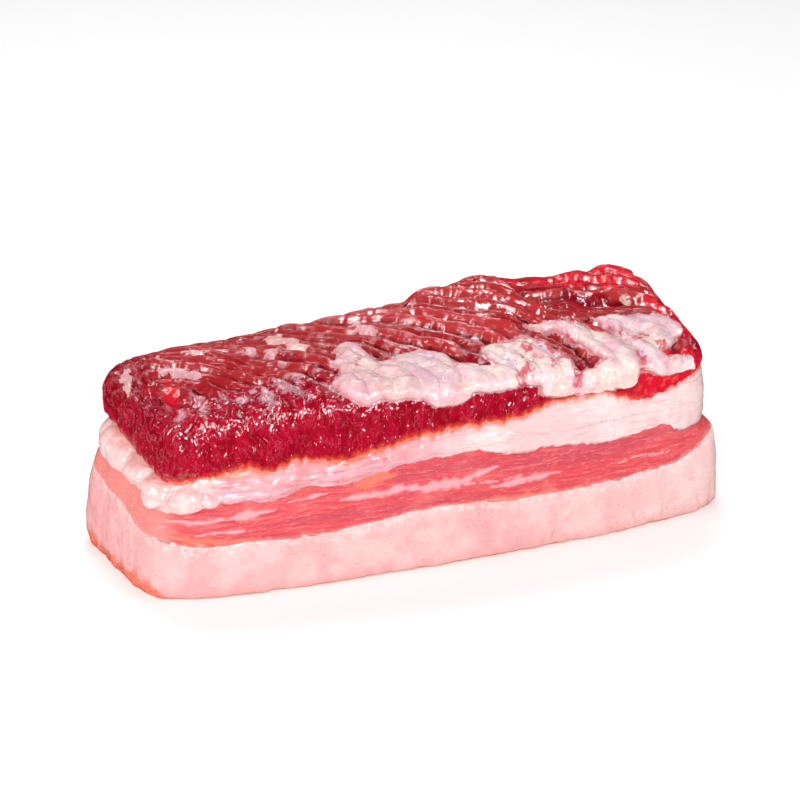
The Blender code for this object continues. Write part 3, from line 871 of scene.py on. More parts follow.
def backFatMaterial(tissue, ragged):
    look = backFatLook
    material, tree, shader = startMaterial("palePinkFat", look)
    grain = useGroup(tree, tissue, cells=(0.45, 0.45, 0.7), bend=0.5, blotch=0.08, seed=2.0)
    mottle = useGroup(tree, tissue, cells=(1.3, 1.3, 1.6), bend=0.4, blotch=0.22, seed=3.0)
    colour = blendColour(tree, ramp(tree, grain["Broad"], 0.38, 0.62), look["fat"], look["pale"])
    colour = blendColour(tree, times(tree, ramp(tree, mottle["Broad"], 0.5, 0.66), 0.45), colour, look["deep"])
    colour = blendColour(tree, times(tree, ramp(tree, mottle["Fine"], 0.58, 0.7), 0.35), colour, look["white"])
    nearTop = useGroup(tree, ragged, distance=attribute(tree, "fromHigh"), reach=4.0, ragged=1.4, seed=4.0)
    white = times(tree, nearTop["Mask"], ramp(tree, grain["Fine"], 0.42, 0.62), 0.75)
    colour = blendColour(tree, white, colour, look["white"])
    colour = blendColour(tree, times(tree, attribute(tree, "paler"), 0.3), colour, look["white"])
    height = attribute(tree, "fromLow")
    soft = useGroup(tree, ragged, distance=height, reach=4.5, ragged=1.0, seed=8.0)
    colour = blendColour(tree, times(tree, soft["Mask"], 0.65), colour, look["edge"])
    colour = blendColour(tree, times(tree, attribute(tree, "leftEnd"), 0.45), colour, look["deep"])
    rind = blendColour(tree, ramp(tree, mottle["Fine"], 0.42, 0.6), look["rind"], look["rindDark"])
    colour = blendColour(tree, times(tree, attribute(tree, "rind"), 0.85), colour, rind)
    normal = addNode(tree, "ShaderNodeNewGeometry").outputs["Normal"]
    down = calc(tree, "MULTIPLY", addNode(tree, "ShaderNodeSeparateXYZ", {0: normal}).outputs["Z"], -1.0)
    pores = useGroup(tree, tissue, cells=(1.6, 1.6, 1.6), bend=0.2, blotch=0.12, seed=9.0)
    skin = blendColour(tree, ramp(tree, pores["Fine"], 0.42, 0.36), look["skin"], look["skinDark"])
    colour = blendColour(tree, ramp(tree, down, 0.6, 0.85), colour, skin)
    plug(tree, shader.inputs["Base Color"], colour)
    plug(tree, shader.inputs["Roughness"], ramp(tree, grain["Broad"], 0.35, 0.65, 0.14, 0.30))
    flecks = useGroup(tree, tissue, cells=(1.1, 1.1, 1.6), bend=0.4, blotch=0.3, seed=10.0, detail=2.0)
    relief = calc(tree, "ADD", grain["Fine"], times(tree, mottle["Fine"], 0.35))
    relief = calc(tree, "ADD", relief, times(tree, ramp(tree, flecks["Fine"], 0.60, 0.72), 0.8))
    addBump(tree, shader, relief, 0.6)
    return material


lowerLeanLook = {
    "glow": 0.2, "glowColour": (1.0, 0.25, 0.18), "glowDepth": 0.0015, "wet": 0.08, "wetRoughness": 0.15,
    "gloss": 0.6, "meat": (0.87, 0.105, 0.12), "deep": (0.72, 0.052, 0.076), "light": (0.94, 0.27, 0.25),
    "pale": (0.93, 0.46, 0.50), "dusky": (0.66, 0.07, 0.11), "orange": (0.92, 0.25, 0.13), "edge": (0.95, 0.40, 0.37),
    "faded": (0.92, 0.33, 0.29),
}


def lowerLeanMaterial(tissue, ragged):
    look = lowerLeanLook
    material, tree, shader = startMaterial("coralLean", look)
    fibres = useGroup(tree, tissue, cells=(0.12, 0.14, 1.5), bend=0.35, blotch=0.09, seed=11.0)
    flecks = useGroup(tree, tissue, cells=(0.5, 0.6, 2.4), bend=0.3, blotch=0.2, seed=14.0)
    colour = blendColour(tree, ramp(tree, fibres["Fine"], 0.36, 0.6), look["deep"], look["meat"])
    colour = blendColour(tree, times(tree, attribute(tree, "dusky"), 0.75), colour, look["dusky"])
    colour = blendColour(tree, times(tree, attribute(tree, "orange"), 0.75), colour, look["orange"])
    colour = blendColour(tree, times(tree, ramp(tree, fibres["Fine"], 0.56, 0.7), 0.7), colour, look["light"])
    colour = blendColour(tree, times(tree, ramp(tree, flecks["Fine"], 0.55, 0.66), 0.7), colour, look["light"])
    colour = blendColour(tree, times(tree, isLine(tree, flecks["Fine"], 0.02), 0.4), colour, look["deep"])
    colour = blendColour(tree, times(tree, ramp(tree, fibres["Broad"], 0.5, 0.68), 0.4), colour, look["light"])
    colour = blendColour(tree, times(tree, attribute(tree, "pale"), 0.85), colour, look["pale"])
    low = useGroup(tree, ragged, distance=attribute(tree, "fromLow"), reach=1.4, ragged=0.6, seed=12.0)
    high = useGroup(tree, ragged, distance=attribute(tree, "fromHigh"), reach=0.6, ragged=0.3, seed=13.0)
    colour = blendColour(tree, times(tree, low["Mask"], 0.7), colour, look["edge"])
    colour = blendColour(tree, times(tree, high["Mask"], 0.45), colour, look["deep"])
    faded = times(tree, attribute(tree, "leftEnd"), ramp(tree, fibres["Broad"], 0.35, 0.6, 0.35, 0.75))
    colour = blendColour(tree, faded, colour, look["faded"])
    plug(tree, shader.inputs["Base Color"], colour)
    plug(tree, shader.inputs["Roughness"], ramp(tree, fibres["Fine"], 0.3, 0.7, 0.36, 0.2))
    addBump(tree, shader, calc(tree, "ADD", fibres["Fine"], times(tree, flecks["Fine"], 0.6)), 0.7)
    return material


seamFatLook = {
    "glow": 0.35, "glowColour": (1.0, 0.45, 0.38), "glowDepth": 0.0025, "wet": 0.1, "wetRoughness": 0.15,
    "gloss": 0.9, "fat": (0.93, 0.66, 0.65), "white": (0.95, 0.765, 0.755), "pink": (0.87, 0.33, 0.375),
    "lilac": (0.86, 0.50, 0.58), "cream": (0.94, 0.585, 0.56), "bleed": (0.90, 0.17, 0.09),
    "leanSide": (0.90, 0.36, 0.37), "line": (0.72, 0.22, 0.25), "orange": (0.92, 0.42, 0.25),
}


def seamFatMaterial(tissue, ragged):
    look = seamFatLook
    material, tree, shader = startMaterial("whitePinkFat", look)
    strata = useGroup(tree, tissue, cells=(0.07, 0.07, 1.1), bend=0.45, blotch=0.07, seed=21.0)
    mottle = useGroup(tree, tissue, cells=(0.6, 0.6, 0.8), bend=0.8, blotch=0.18, seed=25.0)
    end = attribute(tree, "leftEnd")
    colour = blendColour(tree, ramp(tree, strata["Broad"], 0.4, 0.6), look["fat"], look["white"])
    pinker = times(tree, attribute(tree, "pinker"), ramp(tree, mottle["Broad"], 0.35, 0.65, 0.6, 1.0))
    colour = blendColour(tree, pinker, colour, look["pink"])
    colour = blendColour(tree, times(tree, attribute(tree, "pale"), 0.8), colour, look["lilac"])
    lines = times(tree, ramp(tree, strata["Fine"], 0.55, 0.65), 0.55)
    colour = blendColour(tree, lines, colour, look["pink"])
    colour = blendColour(tree, times(tree, isLine(tree, strata["Fine"], 0.012), 0.35), colour, look["line"])
    colour = blendColour(tree, times(tree, end, 0.7), colour, look["cream"])
    spots = times(tree, end, ramp(tree, mottle["Fine"], 0.58, 0.68), 0.5)
    colour = blendColour(tree, spots, colour, look["pink"])
    colour = blendColour(tree, times(tree, end, ramp(tree, mottle["Broad"], 0.5, 0.62), 0.6), colour, look["white"])
    colour = blendColour(tree, times(tree, attribute(tree, "dusky"), 0.7), colour, look["line"])
    colour = blendColour(tree, times(tree, attribute(tree, "orange"), 0.75), colour, look["orange"])
    high = useGroup(tree, ragged, distance=attribute(tree, "fromHigh"), reach=1.7, ragged=0.9, seed=22.0)
    stain = times(tree, high["Mask"], ramp(tree, end, 0.0, 1.0, 0.8, 0.35))
    colour = blendColour(tree, stain, colour, look["bleed"])
    low = useGroup(tree, ragged, distance=attribute(tree, "fromLow"), reach=0.8, ragged=0.4, seed=23.0)
    colour = blendColour(tree, times(tree, low["Mask"], 0.6), colour, look["leanSide"])
    plug(tree, shader.inputs["Base Color"], colour)
    plug(tree, shader.inputs["Roughness"], ramp(tree, strata["Broad"], 0.3, 0.7, 0.13, 0.30))
    addBump(tree, shader, calc(tree, "ADD", strata["Fine"], times(tree, mottle["Fine"], 0.5)), 0.6)
    return material


upperLeanLook = {
    "glow": 0.05, "glowColour": (1.0, 0.12, 0.1), "glowDepth": 0.001, "wet": 0.1, "wetRoughness": 0.12,
    "gloss": 1.0, "cut": (0.45, 0.0015, 0.025), "cutDark": (0.33, 0.0008, 0.012), "cutLight": (0.72, 0.045, 0.10),
    "vein": (0.80, 0.20, 0.27), "bundle": (0.54, 0.036, 0.040), "bundleDark": (0.40, 0.012, 0.019),
    # the near-black maroon on the next line is painted shade for the grooves
    # the pale pink on the next line is a painted highlight for the bundle crests
    "groove": (0.17, 0.0004, 0.004), "rim": (0.84, 0.33, 0.37), "film": (0.80, 0.42, 0.46), "maroon": (0.30, 0.002, 0.014),
    "endDark": (0.26, 0.001, 0.010), "endLight": (0.46, 0.007, 0.028), "bleed": (0.88, 0.085, 0.03),
    "peach": (0.93, 0.38, 0.28), "scarlet": (0.74, 0.007, 0.032), "coral": (0.88, 0.07, 0.06), "flake": (0.84, 0.47, 0.52),
    # the pale lilac on the next line is painted sheen for the wet shoulder
    # the pale pink at the end of the next line is painted glints for the cut face
    "flakePeach": (0.92, 0.60, 0.52), "pearl": (0.84, 0.54, 0.61), "spark": (0.93, 0.55, 0.60),
}


def upperLeanMaterial(tissue, ragged):
    look = upperLeanLook
    material, tree, shader = startMaterial("crimsonMeat", look)
    cutGrain = useGroup(tree, tissue, cells=(1.0, 1.0, 0.5), bend=0.9, blotch=0.10, seed=31.0)
    tendon = useGroup(tree, tissue, cells=(0.50, 0.30, 0.20), bend=0.8, blotch=0.15, seed=36.0)
    patches = useGroup(tree, tissue, cells=(0.5, 0.5, 0.5), bend=0.6, blotch=0.07, seed=35.0)
    grain = attribute(tree, "grain")
    cut = blendColour(tree, ramp(tree, grain, 0.38, 0.58), look["cutDark"], look["cut"])
    cut = blendColour(tree, times(tree, ramp(tree, cutGrain["Fine"], 0.58, 0.68), 0.3), cut, look["cutLight"])
    cut = blendColour(tree, times(tree, isLine(tree, tendon["Fine"], 0.012), 0.35), cut, look["vein"])
    # painted glints: tiny pale dashes on the cut face stand in for wet highlights
    glintNoise = useGroup(tree, tissue, cells=(1.2, 1.2, 0.4), bend=0.8, blotch=0.3, seed=38.0, detail=2.0)
    paintedGlints = ramp(tree, glintNoise["Fine"], 0.66, 0.70)
    cut = blendColour(tree, times(tree, paintedGlints, 0.7), cut, look["spark"])
    # painted sheen: pale streaks on the wet shoulder stand in for reflections
    pearl = times(tree, attribute(tree, "shoulder"), ramp(tree, tendon["Fine"], 0.57, 0.62), 0.7)
    cut = blendColour(tree, pearl, cut, look["pearl"])
    low = useGroup(tree, ragged, distance=attribute(tree, "fromLow"), reach=2.6, ragged=1.0, seed=32.0)
    lowest = useGroup(tree, ragged, distance=attribute(tree, "fromLow"), reach=1.1, ragged=0.6, seed=33.0)
    cut = blendColour(tree, low["Mask"], cut, look["bleed"])
    cut = blendColour(tree, times(tree, lowest["Mask"], 0.8), cut, look["peach"])
    phase = calc(tree, "MULTIPLY", attribute(tree, "phase"), 8.0)
    place = addNode(tree, "ShaderNodeTexCoord").outputs["Object"]
    run = times(tree, addNode(tree, "ShaderNodeSeparateXYZ", {0: place}).outputs["Y"], 110.0)
    along = addNode(tree, "ShaderNodeCombineXYZ", {"X": phase, "Y": run}).outputs[0]
    inputs = {"Vector": along, "Scale": 1.0, "Detail": 4.0, "Roughness": 0.6}
    strand = addNode(tree, "ShaderNodeTexNoise", inputs, noise_dimensions="2D").outputs[0]
    tone = attribute(tree, "tone")
    body = blendColour(tree, ramp(tree, tone, 0.1, 0.9), look["bundleDark"], look["bundle"])
    body = blendColour(tree, times(tree, ramp(tree, strand, 0.52, 0.40), 0.25), body, look["bundleDark"])
    # pink patches along the strands, in the crest highlight colour: membrane tone with painted sheen
    pinkish = times(tree, ramp(tree, patches["Broad"], 0.46, 0.62), ramp(tree, strand, 0.5, 0.66))
    body = blendColour(tree, times(tree, pinkish, 0.18), body, look["rim"])
    leftward = ramp(tree, times(tree, addNode(tree, "ShaderNodeSeparateXYZ", {0: place}).outputs["X"], 1000.0), -12.0, -45.0)
    body = blendColour(tree, times(tree, leftward, 0.6), body, look["bundleDark"])
    # painted highlight: a pale pink line along each bundle's crest
    rim = times(tree, attribute(tree, "rim"), ramp(tree, patches["Fine"], 0.36, 0.5, 0.45, 1.0))
    body = blendColour(tree, rim, body, look["rim"])
    # painted shade: the grooves and the fold are darkened to a near-black maroon
    body = blendColour(tree, ramp(tree, attribute(tree, "groove"), 0.0, 0.7, 0.0, 0.96), body, look["groove"])
    # painted glints: pale dashes along the strands, kept out of the grooves
    inputs = {"Vector": along, "Scale": 1.7, "Detail": 2.0}
    paintedGleam = addNode(tree, "ShaderNodeTexNoise", inputs, noise_dimensions="2D").outputs[0]
    paintedGleam = times(tree, ramp(tree, paintedGleam, 0.67, 0.72), calc(tree, "SUBTRACT", 1.0, attribute(tree, "groove")))
    body = blendColour(tree, times(tree, paintedGleam, 0.6), body, look["rim"])
    body = blendColour(tree, ramp(tree, attribute(tree, "maroon"), -0.6, 0.6), body, look["maroon"])
    colour = blendColour(tree, attribute(tree, "cutFace"), body, cut)
    veins = useGroup(tree, tissue, cells=(1.1, 0.12, 0.2), bend=0.7, blotch=0.1, seed=37.0)
    endColour = blendColour(tree, ramp(tree, veins["Fine"], 0.48, 0.62), look["endDark"], look["endLight"])
    endColour = blendColour(tree, times(tree, isLine(tree, veins["Fine"], 0.018), 0.65), endColour, look["vein"])
    colour = blendColour(tree, times(tree, attribute(tree, "leftEnd"), 0.85), colour, endColour)
    edge = times(tree, calc(tree, "SUBTRACT", patches["Fine"], 0.5), 4.0)
    scarlet = ramp(tree, calc(tree, "ADD", attribute(tree, "scarlet"), edge), -0.5, 0.7)
    red = blendColour(tree, ramp(tree, patches["Fine"], 0.50, 0.66), look["scarlet"], look["coral"])
    colour = blendColour(tree, times(tree, scarlet, ramp(tree, strand, 0.62, 0.48, 0.4, 0.95)), colour, red)
    colour = blendColour(tree, attribute(tree, "corner"), colour, red)
    film = calc(tree, "ADD", attribute(tree, "film"), times(tree, calc(tree, "SUBTRACT", cutGrain["Fine"], 0.5), 2.2))
    colour = blendColour(tree, ramp(tree, film, 0.55, 0.9, 0.0, 0.75), colour, look["film"])
    # painted sheen: pale patches from the top marks stand in for reflections on the shoulder
    sheenEdge = calc(tree, "ADD", attribute(tree, "pearl"), times(tree, calc(tree, "SUBTRACT", cutGrain["Fine"], 0.5), 4.0))
    paintedSheen = times(tree, ramp(tree, sheenEdge, 0.0, 0.7), ramp(tree, cutGrain["Fine"], 0.56, 0.40, 0.35, 0.9))
    colour = blendColour(tree, paintedSheen, colour, look["pearl"])
    flakeEdge = calc(tree, "ADD", attribute(tree, "flake"), times(tree, calc(tree, "SUBTRACT", patches["Fine"], 0.5), 3.0))
    flakeColour = blendColour(tree, ramp(tree, patches["Broad"], 0.42, 0.58), look["flakePeach"], look["flake"])
    colour = blendColour(tree, times(tree, ramp(tree, flakeEdge, -0.1, 0.4), ramp(tree, cutGrain["Fine"], 0.4, 0.6, 0.65, 0.95)), colour, flakeColour)
    plug(tree, shader.inputs["Base Color"], colour)
    wetCut = ramp(tree, cutGrain["Fine"], 0.35, 0.65, 0.15, 0.06)
    satin = ramp(tree, strand, 0.40, 0.62, 0.19, 0.09)
    polish = addNode(tree, "ShaderNodeMix", {"Factor": attribute(tree, "cutFace"), "A": satin, "B": wetCut})
    plug(tree, shader.inputs["Roughness"], polish.outputs[0])
    beads = useGroup(tree, tissue, cells=(0.60, 0.60, 0.26), bend=0.9, blotch=0.2, seed=39.0, detail=1.0)
    topRelief = calc(tree, "ADD", times(tree, strand, 0.22), times(tree, beads["Fine"], 0.05))
    relief = addNode(tree, "ShaderNodeMix", {"Factor": attribute(tree, "cutFace"), "A": topRelief, "B": beads["Fine"]})
    addBump(tree, shader, relief.outputs[0], 1.0, 0.0009)
    return material


surfaceFatLook = {
    "glow": 0.2, "glowColour": (1.0, 0.45, 0.4), "glowDepth": 0.002, "wet": 0.1, "wetRoughness": 0.12,
    "gloss": 1.0, "fat": (0.91, 0.54, 0.58), "white": (0.97, 0.79, 0.79), "lilac": (0.82, 0.50, 0.63), "rosy": (0.87, 0.42, 0.46),
    "cream": (0.97, 0.77, 0.68), "pink": (0.84, 0.30, 0.34), "blood": (0.68, 0.05, 0.09), "thin": (0.76, 0.26, 0.29),
}


def surfaceFatMaterial(tissue, ragged):
    look = surfaceFatLook
    material, tree, shader = startMaterial("wetSurfaceFat", look)
    smear = useGroup(tree, tissue, cells=(0.45, 0.3, 0.4), bend=1.2, blotch=0.14, seed=41.0)
    patch = useGroup(tree, tissue, cells=(1.1, 0.9, 0.9), bend=0.8, blotch=0.10, seed=43.0)
    colour = blendColour(tree, ramp(tree, smear["Broad"], 0.40, 0.60), look["fat"], look["white"])
    colour = blendColour(tree, times(tree, ramp(tree, patch["Broad"], 0.50, 0.62), 0.8), colour, look["lilac"])
    colour = blendColour(tree, times(tree, ramp(tree, patch["Broad"], 0.51, 0.40), 0.75), colour, look["cream"])
    colour = blendColour(tree, times(tree, ramp(tree, smear["Fine"], 0.55, 0.68), 0.55), colour, look["pink"])
    colour = blendColour(tree, times(tree, isLine(tree, smear["Fine"], 0.012), 0.6), colour, look["pink"])
    colour = blendColour(tree, times(tree, isLine(tree, patch["Fine"], 0.010), 0.35), colour, look["pink"])
    colour = blendColour(tree, times(tree, ramp(tree, patch["Fine"], 0.64, 0.72), 0.7), colour, look["blood"])
    depth = calc(tree, "ADD", attribute(tree, "thick"), times(tree, calc(tree, "SUBTRACT", patch["Fine"], 0.5), 2.0))
    colour = blendColour(tree, ramp(tree, depth, 0.1, 1.2, 0.75, 0.0), colour, look["thin"])
    place = addNode(tree, "ShaderNodeTexCoord").outputs["Object"]
    x = addNode(tree, "ShaderNodeSeparateXYZ", {0: place}).outputs["X"]
    torn = calc(tree, "ADD", attribute(tree, "torn"), times(tree, calc(tree, "SUBTRACT", smear["Fine"], 0.5), 9.0))
    colour = blendColour(tree, ramp(tree, torn, -0.5, 1.0, 0.0, 0.85), colour, look["blood"])
    rosy = times(tree, ramp(tree, x, 0.0, -0.014), ramp(tree, smear["Broad"], 0.36, 0.56))
    colour = blendColour(tree, times(tree, rosy, 0.6), colour, look["rosy"])
    plug(tree, shader.inputs["Base Color"], colour)
    plug(tree, shader.inputs["Roughness"], ramp(tree, smear["Broad"], 0.3, 0.7, 0.10, 0.24))
    wrinkle = useGroup(tree, tissue, cells=(1.8, 1.2, 1.6), bend=1.6, blotch=0.3, seed=45.0, detail=2.0)
    relief = calc(tree, "ADD", smear["Fine"], times(tree, wrinkle["Fine"], 0.55))
    addBump(tree, shader, relief, 0.9, 0.0005)
    return material


# ---- the stage

view = {
    "azimuth": -21.0, "elevation": 23.1, "distance": 0.660, "lens": 109.7,
    "target": (-3.65, 0.0, 36.6),  # millimetres, in the slab's own coordinates before it is centred
}


def makeStage(shift):
    floorMesh = bpy.data.meshes.new("floor")
    floorMesh.from_pydata([(-4, -4, 0), (4, -4, 0), (4, 4, 0), (-4, 4, 0)], [], [(0, 1, 2, 3)])
    floor = bpy.data.objects.new("floor", floorMesh)
    bpy.context.scene.collection.objects.link(floor)
    material = bpy.data.materials.new("paleFloor")
    material.use_nodes = True
    material.node_tree.nodes["Principled BSDF"].inputs["Base Color"].default_value = (0.95, 0.95, 0.95, 1)
    material.node_tree.nodes["Principled BSDF"].inputs["Roughness"].default_value = 0.9
    material.node_tree.nodes["Principled BSDF"].inputs["Emission Color"].default_value = (1, 1, 1, 1)
    material.node_tree.nodes["Principled BSDF"].inputs["Emission Strength"].default_value = 0.14
    floorMesh.materials.append(material)
    floor.visible_glossy = False  # black cards keep the wet surfaces deep in colour
    world = bpy.data.worlds.new("studio")
    world.use_nodes = True
    world.node_tree.nodes["Background"].inputs["Color"].default_value = (1, 1, 1, 1)
    world.node_tree.nodes["Background"].inputs["Strength"].default_value = 0.46
    world.cycles_visibility.glossy = False
    bpy.context.scene.world = world
    softLamps = {  # place, size, watts
        "key": ((-0.40, -0.78, 0.62), 0.46, 3.3),
        "low": ((-0.20, -0.98, 0.26), 0.40, 1.3),
        "fill": ((0.66, -0.70, 0.40), 0.36, 1.5),
        "left": ((-0.95, -0.05, 0.36), 0.36, 3.0),
        "top": ((0.10, 0.45, 0.85), 0.36, 2.9),
    }
    brightCards = {  # seen only as reflections on the wet surfaces
        "cardHigh": ((-0.36, -0.70, 0.72), 0.23, 8.0),
        "cardLow": ((-0.12, -0.98, 0.30), 0.20, 3.6),
        "cardRight": ((0.64, -0.62, 0.50), 0.22, 4.0),
        "cardLeft": ((-0.95, -0.20, 0.44), 0.18, 2.6),
        "cardBack": ((0.32, 0.80, 0.66), 0.15, 1.1),
        "cardTop": ((-0.25, 0.42, 0.88), 0.15, 1.1),
    }
    for name, (place, size, watts) in (softLamps | brightCards).items():
        data = bpy.data.lights.new(name, "AREA")
        data.size = size
        data.energy = watts
        lamp = bpy.data.objects.new(name, data)
        lamp.location = place
        lamp.visible_diffuse = name in softLamps
        lamp.visible_glossy = name in brightCards
        lamp.rotation_euler = (Vector((0, 0, 0.03)) - lamp.location).to_track_quat("-Z", "Y").to_euler()
        bpy.context.scene.collection.objects.link(lamp)
    target = Vector(view["target"]) * mm + shift
    turn, tilt = math.radians(view["azimuth"]), math.radians(view["elevation"])
    back = Vector((math.sin(turn) * math.cos(tilt), -math.cos(turn) * math.cos(tilt), math.sin(tilt)))
    camera = bpy.data.objects.new("camera", bpy.data.cameras.new("camera"))
    camera.location = target + back * view["distance"]
    camera.rotation_euler = (-back).to_track_quat("-Z", "Y").to_euler()
    camera.data.lens = view["lens"]
    bpy.context.scene.collection.objects.link(camera)
    bpy.context.scene.camera = camera
    bpy.context.scene.view_settings.view_transform = "Standard"


# ---- putting it together

# Marks on the front face as lines of x, height and half thickness, by layer
frontMarks = {
    "lowerLean": {
        "pale": (
            ((-77, 21.5, 0.2), (-68, 21.3, 0.6), (-60, 21.6, 0.5), (-56, 22.3, 1.3), (-52, 22.6, 0.9), (-48, 22.9, 0.1)),
            ((-31, 23.0, 0.1), (-25, 23.7, 0.9), (-15, 24.0, 1.1), (-5, 23.6, 1.2), (3, 23.6, 1.5), (9, 25, 0.7), (14, 26, 0.1)),
            ((11, 20.6, 0.1), (16, 20.7, 1.0), (22, 20.8, 1.1), (28, 21.2, 0.6), (32, 21.4, 0.1)),
            ((-45, 24.6, 0.1), (-38, 25.6, 0.5), (-30, 25.4, 0.1)), ((2, 22.2, 0.1), (10, 22.1, 0.35), (22, 22.2, 0.1)),
            ((-70, 18.0, 0.1), (-62, 18.2, 0.5), (-55, 18.0, 0.1)), ((48, 20.5, 0.1), (56, 21.0, 0.3), (66, 20.6, 0.1)),
        ),
        "dusky": (
            ((-18, 27.0, 0.4), (-12, 28.0, 2.0), (0, 28.5, 2.4), (8, 28.0, 1.8), (15, 26.8, 0.3)),
            ((10, 24.5, 0.3), (22, 26.0, 2.4), (38, 25.2, 2.8), (52, 25.6, 2.4), (64, 27.0, 1.2), (70, 26.0, 0.2)),
            ((-50, 19.0, 0.2), (-40, 19.5, 1.0), (-22, 18.8, 1.0), (-5, 18.6, 1.2), (12, 18.4, 0.4)),
        ),
        "orange": (
            ((-27, 26.8, 0.4), (-23, 27.6, 1.8), (-18, 28.4, 1.4), (-15, 28.0, 0.2)),
            ((-2, 16.0, 0.2), (8, 15.8, 1.2), (22, 15.2, 1.7), (34, 15.2, 1.2), (42, 15.4, 0.2)),
            ((-78, 17.5, 0.3), (-70, 16.6, 1.0), (-60, 15.8, 0.6), (-50, 15.4, 0.2)),
        ),
    },
    "seamFat": {
        "pale": (
            ((-69, 28.6, 0.2), (-64, 28.4, 1.4), (-56, 28.2, 1.5), (-50, 27.6, 1.2), (-44, 28.4, 0.2)),
            ((-42, 29.6, 0.3), (-34, 31.0, 0.9), (-24, 31.6, 1.2), (-12, 31.4, 0.9), (-4, 31.6, 0.2)),
        ),
        "dusky": (
            ((-68, 30.6, 0.1), (-60, 30.8, 0.16), (-48, 31.0, 0.14), (-38, 30.8, 0.18), (-28, 32.0, 0.2), (-16, 33.6, 0.1)),
            ((-58, 26.6, 0.1), (-50, 26.9, 0.15), (-44, 27.6, 0.12), (-32, 29.4, 0.15), (-22, 30.0, 0.1)),
            ((6, 30.5, 0.05), (14, 29.6, 0.14), (24, 29.0, 0.05)), ((30, 34.5, 0.05), (46, 34.0, 0.1), (66, 33.0, 0.05)),
        ),
        "orange": (((32, 40.6, 0.1), (37, 40.9, 0.5), (42, 41.4, 0.1)), ((-64, 33.5, 0.1), (-56, 33.2, 0.6), (-50, 33.0, 0.1))),
    },
}


def frontLine(points, lines, seed):  # how far each point lies inside lines drawn along the front, 0 to 1
    x, y, z = points.T
    wobble = 0.5 * softNoise(x, y, z, 6.0, seed, 2)
    torn = np.clip(1 + 0.9 * softNoise(x, y, z, 2.4, seed + 9, 2), 0.4, 2)
    best = np.zeros(len(points))
    for line in lines:
        line = np.array(line, float)
        middle = np.interp(x, line[:, 0], line[:, 1])
        wide = np.interp(x, line[:, 0], line[:, 2], left=0, right=0)
        near = 1 - smoothstep(0.4, 1.3, np.abs(z + wobble - middle) / np.maximum(wide * torn, 0.05))
        best = np.maximum(best, near * smoothstep(0.03, 0.12, wide))
    return best * smoothstep(-14, -20, y)


# Marks on the top: x, y, radius along, radius across, turn in degrees
topMarks = {
    "flake": (
        (-63, 7, 7.2, 2.3, -56), (-43, 11.5, 3.4, 1.7, -5), (-37, 8, 3.6, 1.8, 35), (-32.5, 15.5, 5.2, 3.0, -45),
        (-30.5, 10.5, 5.6, 2.9, -80), (-9, 14.5, 6.4, 2.3, -75), (45, 0, 2.6, 1.8, 90), (66.5, 6.5, 1.8, 1.2, 0),
        (-76, 12, 7.0, 1.5, 85), (7.5, 20, 2.2, 1.0, 60), (-54, 16, 5.0, 0.7, -30), (-66, 17, 4.5, 0.8, -50),
        (-22, 0, 2.5, 0.8, -60), (71, 5, 2.2, 0.9, -20),
    ),
    "scarlet": (
        (69, 18, 7.5, 6.5, 0), (57, 20, 6.5, 4.0, 0), (38, 21, 4.5, 3.5, 0), (76, -4, 4.5, 9, 0), (75, 6, 4, 6, 0),
        (-68, -2, 9.0, 1.7, 80), (47, 21, 5, 3, 0), (-82, 4, 2.5, 9, 0),
    ),
    # the next marks are painted sheen: pale patches where reflections lie on the wet shoulder
    "pearl": (
        (-63.5, -12, 8.5, 1.3, 88), (-57.4, -12.7, 2.6, 1.8, 60), (-52.8, -15.6, 2.9, 1.7, -50), (-46.5, -16, 8.0, 1.9, 84),
        (-39.8, -14.5, 7.4, 2.6, -68), (-35.3, -9.3, 2.4, 2.0, 0), (-36.4, 0.1, 2.0, 1.4, 20), (-69, -14.8, 2.6, 1.2, -40),
        (-30.5, -17, 5.0, 1.7, -60), (-29, -8, 2.2, 1.2, -30),
    ),
    "maroon": ((56, 8.5, 7.5, 2.6, -25), (44, 15, 6, 2.2, 0), (12.5, -15, 3.4, 6, 0), (-33, 2.5, 3.5, 1.8, -55), (-15, 20, 5, 2, -15)),
}

fatMarks = (  # where the surface fat is torn and the meat shows red through it
    (26, -17, 7.0, 1.4, 60), (34, -19, 8.5, 2.6, -62), (37, -25, 4.5, 2.0, 70), (22, -26, 5.0, 1.2, 45),
    (30, -25, 3.0, 1.2, 40), (-21, -13, 3.0, 0.8, 70), (8, -17, 4.0, 1.2, 20), (58, -14, 6.0, 0.8, -70),
    (56, -26, 4.0, 1.2, 80), (64, -19, 4.0, 1.0, -60), (40, -12, 6.0, 1.4, -60),
)


def topBlots(points, blots, seed):  # how far inside its nearest blot each point lies, in millimetres
    x, y, z = points.T
    wx = x + 1.5 * softNoise(x, y, 0.0, 3.0, seed, 3)
    wy = y + 1.5 * softNoise(x, y, 0.0, 3.0, seed + 7, 3)
    best = np.full(len(points), -3.0)
    for cx, cy, along, across, turn in blots:
        c, d = math.cos(math.radians(turn)), math.sin(math.radians(turn))
        u, v = (wx - cx) * c + (wy - cy) * d, (wy - cy) * c - (wx - cx) * d
        best = np.maximum(best, (1 - np.hypot(u / along, v / across)) * min(along, across))
    return np.where(z > 40, best, -3.0)


